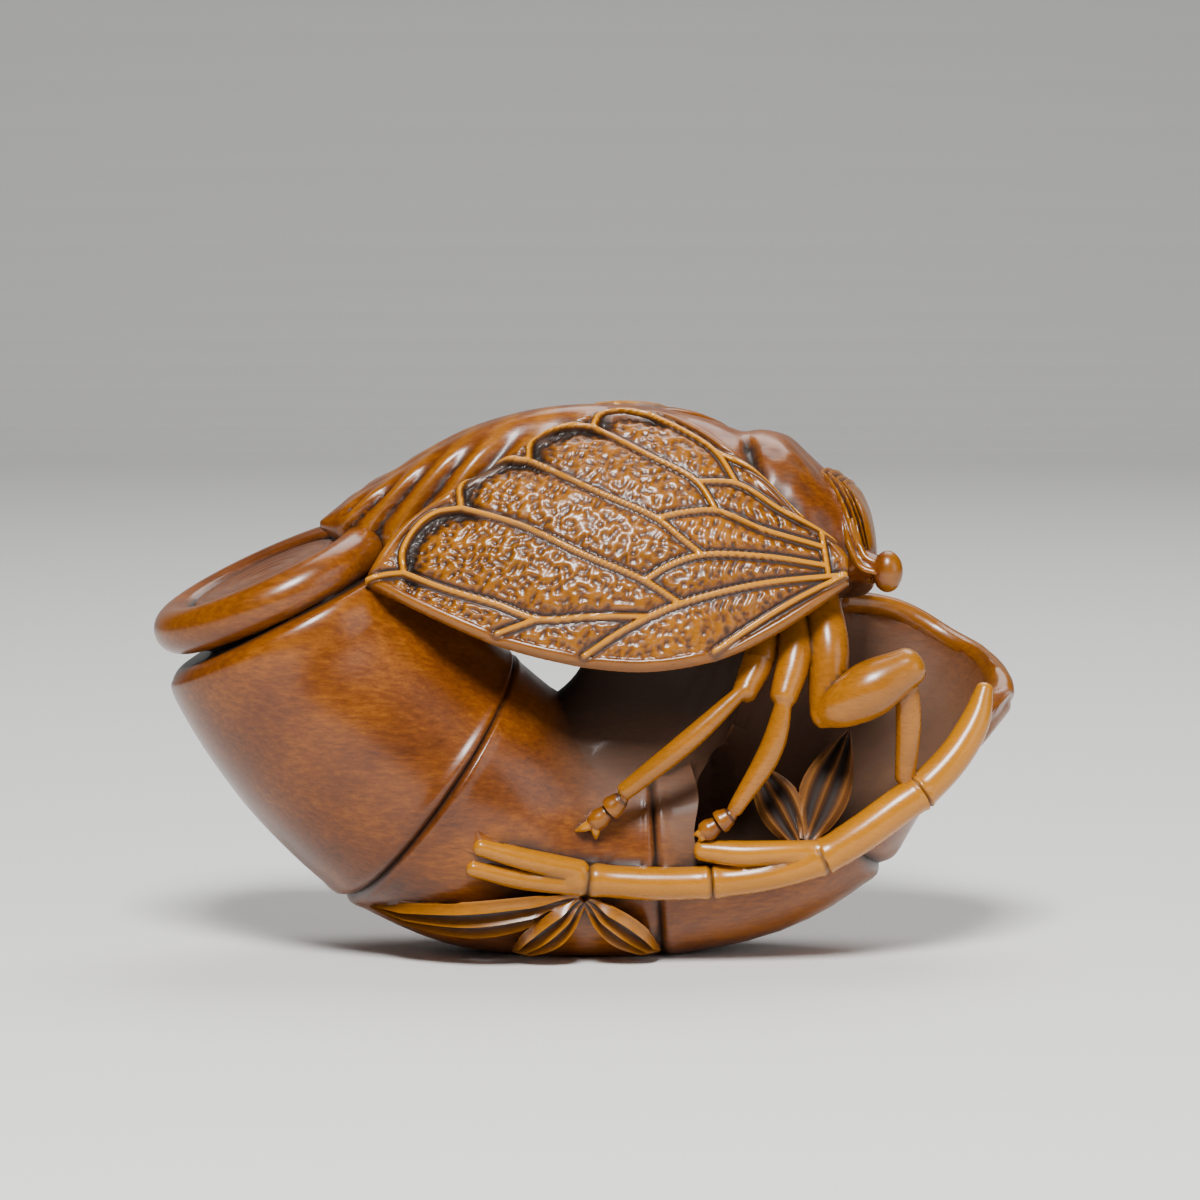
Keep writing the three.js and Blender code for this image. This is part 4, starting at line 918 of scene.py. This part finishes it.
own, marks = read("own"), np.stack([read("shade"), read("gold"), read("dull")], -1)
seam = own < 0.5
reach = seam.astype(float)  # how far each point may move: all the way on a seam, less beside it
for ring in range(2):
    near = np.zeros(count)
    np.maximum.at(near, ends[:, 0], reach[ends[:, 1]])
    reach = np.maximum(reach, FILLET_SPREAD * near)

# A seam has no marks of its own: they spread in from beside it, and the least gold near it holds.
known = np.column_stack([marks * ~seam[:, None], ~seam])
for ring in range(4):
    known = np.where(known[:, 3:] > 0, known, around(known))
marks = known[:, :3] / np.maximum(known[:, 3:], 1e-6)
for ring in range(SEAM_RINGS):
    least = marks[:, 1].copy()
    np.minimum.at(least, ends[:, 0], marks[ends[:, 1], 1])
    marks[:, 1] = np.where(seam, least, marks[:, 1])
for ring in range(DULL_FADE):
    marks[:, 2:] = around(marks[:, 2:])

# The fillets: a point goes half way to the mean of its neighbours, of which the nearest count most.
points = np.empty((count, 3), np.float32)
mesh.vertices.foreach_get("co", points.ravel())
for step in range(FILLET_STEPS):
    length = np.linalg.norm(points[ends[:, 0]] - points[ends[:, 1]], axis=1)
    points += 0.5 * reach[:, None] * (around(points, 1 / (length + SHORT_EDGE) ** 2) - points)
from_worn = [np.linalg.norm(points - np.array(place) * MM, axis=1) for place in WORN]
worn = np.max([bump(distance, WORN_REACH) for distance in from_worn], axis=0)
for step in range(WORN_STEPS):
    length = np.linalg.norm(points[ends[:, 0]] - points[ends[:, 1]], axis=1)
    points += 0.5 * worn[:, None] * (around(points, 1 / (length + SHORT_EDGE)) - points)
points[:, 2] = np.maximum(points[:, 2], 0)
mesh.vertices.foreach_set("co", points.ravel())
mesh.update()


def blur(field, rounds):
    """Each round takes the mean of every cell and its two neighbours along each axis, the cell counted
    twice."""
    for step in range(rounds):
        for axis in range(3):
            field = (np.roll(field, 1, axis) + 2 * field + np.roll(field, -1, axis)) / 4
    return field


def hollowness(rounds):
    """How deep each point lies among the surface round it: the mean place of the faces near it, weighed by
    their areas, minus its own place, along its normal, in cells. Above 0 is hollow, below 0 stands proud."""
    centres, areas = np.empty((len(mesh.polygons), 3)), np.empty(len(mesh.polygons))
    mesh.polygons.foreach_get("center", centres.ravel())
    mesh.polygons.foreach_get("area", areas)
    normals = np.empty((count, 3), np.float32)
    mesh.vertices.foreach_get("normal", normals.ravel())
    margin = 3 + int(2 * math.sqrt(rounds))  # empty cells round the carving, so nothing wraps round
    low = points.min(axis=0) - margin * CELL * MM
    size = np.ceil((points.max(axis=0) - low) / (CELL * MM)).astype(int) + margin
    cell = np.floor((centres - low) / (CELL * MM)).astype(int)
    flat = np.ravel_multi_index(cell.T, size)
    places = (centres - low) / (CELL * MM) - 0.5
    weights = [areas * 1e6, *(areas * 1e6 * places[:, k] for k in range(3))]
    fields = [blur(np.bincount(flat, weight, size.prod()).reshape(size), rounds) for weight in weights]
    here = (points - low) / (CELL * MM) - 0.5
    base = np.floor(here).astype(int)
    part = here - base
    total = np.zeros((4, count))
    for corner in np.ndindex(2, 2, 2):
        weight = np.prod(np.where(corner, part, 1 - part), axis=1)
        at = tuple((base + corner).T)
        total += weight * np.stack([field[at] for field in fields])
    middle = total[1:].T / np.maximum(total[0], 1e-12)[:, None]
    return ((middle - here) * normals).sum(axis=1) / math.sqrt(rounds / 2)


# Hollows are darkened with dirt and painted shade, the broad ones with painted shade alone; hands rub what
# stands proud, and the marks run together in worn places.
fine, broad = hollowness(FINE_REACH), hollowness(BROAD_REACH)
crevice_dirt_and_shade = FINE_DIRT_AND_SHADE * ramp(fine, 0.1, 0.6)
marks[:, 0] = np.clip(marks[:, 0] + crevice_dirt_and_shade + BROAD_PAINTED_SHADE * ramp(broad, 0.15, 0.8), 0, 1)
marks[:, 0] = np.maximum(marks[:, 0], SEAM_SHADE * seam * ramp(fine, 0.05, 0.35))
marks[:, 1] = np.clip(marks[:, 1] + PROUD_GOLD * ramp(-broad, 0.3, 1.2), 0, 1)
for step in range(WORN_STEPS):
    marks += 0.5 * worn[:, None] * (around(marks) - marks)
for column, name in enumerate(["shade", "gold", "dull"]):
    mesh.attributes[name].data.foreach_set("value", marks[:, column].astype(np.float32))
mesh.attributes.remove(mesh.attributes["own"])
mesh.polygons.foreach_set("use_smooth", np.ones(len(mesh.polygons), bool))
mesh.set_sharp_from_angle(angle=SHARP)


class Shader:
    """A socket of the node tree that takes arithmetic: an expression on it adds Math nodes."""

    tree = None

    def __init__(self, socket):
        self.socket = socket

    @classmethod
    def node(cls, kind, settings=None, output=0, **inputs):
        """Adds a node, makes its settings, then gives its sockets values or links. A socket is given by its
        name, with _ for each space, or by _ and its number."""
        made = cls.tree.nodes.new(kind)
        for name, value in (settings or {}).items():
            if name == "stops":
                elements = made.color_ramp.elements
                while len(elements) < len(value):
                    elements.new(1)
                for element, (place, colour) in zip(elements, value):
                    element.position = place
                    element.color = colour
            else:
                setattr(made, name, value)
        for name, value in inputs.items():
            key = int(name[1:]) if name[0] == "_" else name.replace("_", " ")
            socket = made.inputs[key]
            if isinstance(value, Shader):
                cls.tree.links.new(value.socket, socket)
            else:
                socket.default_value = value
        return cls(made.outputs[output])

    def math(self, operation, other):
        return Shader.node("ShaderNodeMath", {"operation": operation}, _0=self, _1=other)

    def __add__(self, other):
        return self.math("ADD", other)

    __radd__ = __add__

    def __mul__(self, other):
        return self.math("MULTIPLY", other)

    __rmul__ = __mul__

    def __sub__(self, other):
        return self.math("SUBTRACT", other)

    def __rsub__(self, other):
        return Shader.node("ShaderNodeMath", {"operation": "SUBTRACT"}, _0=other, _1=self)

    def clamp(self):
        """Keeps the value between 0 and 1."""
        return Shader.node("ShaderNodeClamp", None, Value=self)


def mix(factor, a, b):
    """A colour between a and b."""
    settings = {"data_type": "RGBA", "blend_type": "MIX"}
    return Shader.node("ShaderNodeMix", settings, 2, _0=factor, _6=a, _7=b)


# Boxwood, stained and waxed: a warm brown with fine grain that runs along the insect, darker where the shade
# mark lays dirt and painted shade, and golden where hands rub, with some painted highlight on the legs and
# head.
# Where it is dull it has greyed, lost its wax and turned rough.
DEEP = (0.050, 0.010, 0.0005, 1)
WARM = (0.140, 0.034, 0.001, 1)
LIGHT = (0.330, 0.100, 0.002, 1)
RUBBED = (0.640, 0.250, 0.001, 1)
SHADE_AND_DIRT = (0.004, 0.0025, 0.002, 1)
GREYED = (0.105, 0.058, 0.034, 1)

boxwood = bpy.data.materials.new("boxwood")
boxwood.use_nodes = True
Shader.tree = boxwood.node_tree
surface = Shader.tree.nodes["Principled BSDF"]
coords = Shader.node("ShaderNodeTexCoord", None, 3)
grain_scale, grain_turn = (220, 900, 900), (0, 0.25, 0.1)
along_grain = Shader.node("ShaderNodeMapping", None, Vector=coords, Scale=grain_scale, Rotation=grain_turn)
figure = Shader.node("ShaderNodeTexNoise", None, 0, Vector=along_grain, Scale=0.35, Detail=5, Distortion=0.5)
fibres = Shader.node("ShaderNodeTexNoise", None, 0, Vector=along_grain, Scale=3.2, Detail=6, Roughness=0.7)
patches = Shader.node("ShaderNodeTexNoise", None, 0, Vector=coords, Scale=42, Detail=3)
ring_kind = {"wave_type": "RINGS", "rings_direction": "Y"}
year_rings = Shader.node("ShaderNodeTexWave", ring_kind, 1, Vector=coords, Scale=38, Distortion=2.5, Detail=2)
shade = Shader.node("ShaderNodeAttribute", {"attribute_name": "shade"}, 2)
gold = Shader.node("ShaderNodeAttribute", {"attribute_name": "gold"}, 2)
dull = Shader.node("ShaderNodeAttribute", {"attribute_name": "dull"}, 2)
tone = (figure * 0.35 + fibres * 0.6 + patches * 0.5 + year_rings * 0.07 - 0.25).clamp()
wood = Shader.node("ShaderNodeValToRGB", {"stops": [(0.25, DEEP), (0.5, WARM), (0.8, LIGHT)]}, Fac=tone)
golden = mix((gold * 0.8).clamp(), wood, RUBBED)
grey = mix((dull * 0.75).clamp(), golden, GREYED)
# the shade mark paints dirt, painted shade and painted shadow in one near-black colour
shaded_and_dirty = mix((shade * 0.95).clamp(), grey, SHADE_AND_DIRT)
Shader.tree.links.new(shaded_and_dirty.socket, surface.inputs["Base Color"])
rough = (0.24 + fibres * 0.12 + shade * 0.25 + dull * 0.45 - gold * 0.06).clamp()
Shader.tree.links.new(rough.socket, surface.inputs["Roughness"])
grain = Shader.node("ShaderNodeBump", None, Height=fibres * (dull * 3 + 1), Strength=0.14, Distance=0.0001)
Shader.tree.links.new(grain.socket, surface.inputs["Normal"])
wax = ((1 - dull) * 0.25).clamp()
Shader.tree.links.new(wax.socket, surface.inputs["Coat Weight"])
surface.inputs["Coat Roughness"].default_value = 0.16
surface.inputs["Specular IOR Level"].default_value = 0.42
carving.data.materials.clear()
carving.data.materials.append(boxwood)
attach(carving, "root")
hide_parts("cicada_figurine")

# The stage: a pale sweep of card that rises behind the carving in a quarter of an ellipse, and three soft
# lights, of which the key stands in front and high up.
SWEEP_HALF, SWEEP_BEND, SWEEP_BACK, SWEEP_TALL, SWEEP_STEPS = 600, 500, 900, 700, 60
sweep_x = np.linspace(-SWEEP_HALF, SWEEP_HALF, 2)
sweep_y = np.interp(np.linspace(0, 1, SWEEP_STEPS), [0, 0.4, 1], [-SWEEP_HALF, SWEEP_BEND, SWEEP_BACK])
behind = (sweep_y - SWEEP_BEND) / (SWEEP_BACK - SWEEP_BEND)
sweep_z = np.where(behind > 0, SWEEP_TALL * (1 - np.sqrt(np.clip(1 - behind**2, 0, 1))), 0)
X, S = np.meshgrid(sweep_x, np.arange(SWEEP_STEPS), indexing="ij")
points = np.stack([X, sweep_y[S], sweep_z[S]], -1).reshape(-1, 3) * MM
index = np.arange(SWEEP_STEPS - 1)
quads = np.stack([index, index + SWEEP_STEPS, index + SWEEP_STEPS + 1, index + 1], -1)
floor_mesh = bpy.data.meshes.new("floor")
floor_mesh.from_pydata(points, [], quads.tolist())
floor = bpy.data.objects.new("floor", floor_mesh)
bpy.context.scene.collection.objects.link(floor)
pale = bpy.data.materials.new("pale_floor")
pale.use_nodes = True
card = pale.node_tree.nodes["Principled BSDF"]
card.inputs["Base Color"].default_value = (0.78, 0.77, 0.75, 1)
card.inputs["Roughness"].default_value = 0.7
floor_mesh.materials.append(pale)

LIGHTS = [  # place, size and power in watts
    ("key", (-20, -350, 430), 150, 5.6),
    ("fill", (380, -260, 160), 260, 0.45),
    ("top", (60, 220, 430), 300, 1.5),
]
for name, place, size, power in LIGHTS:
    lamp = bpy.data.objects.new(name, bpy.data.lights.new(name, "AREA"))
    lamp.data.size = size * MM
    lamp.data.energy = power
    lamp.location = Vector(place) * MM
    lamp.rotation_euler = (LOOK_AT - lamp.location).to_track_quat("-Z", "Y").to_euler()
    bpy.context.scene.collection.objects.link(lamp)
world = bpy.data.worlds.new("studio")
world.use_nodes = True
sky = world.node_tree.nodes["Background"]
sky.inputs["Color"].default_value = (0.80, 0.85, 0.95, 1)
sky.inputs["Strength"].default_value = 0.06
bpy.context.scene.world = world
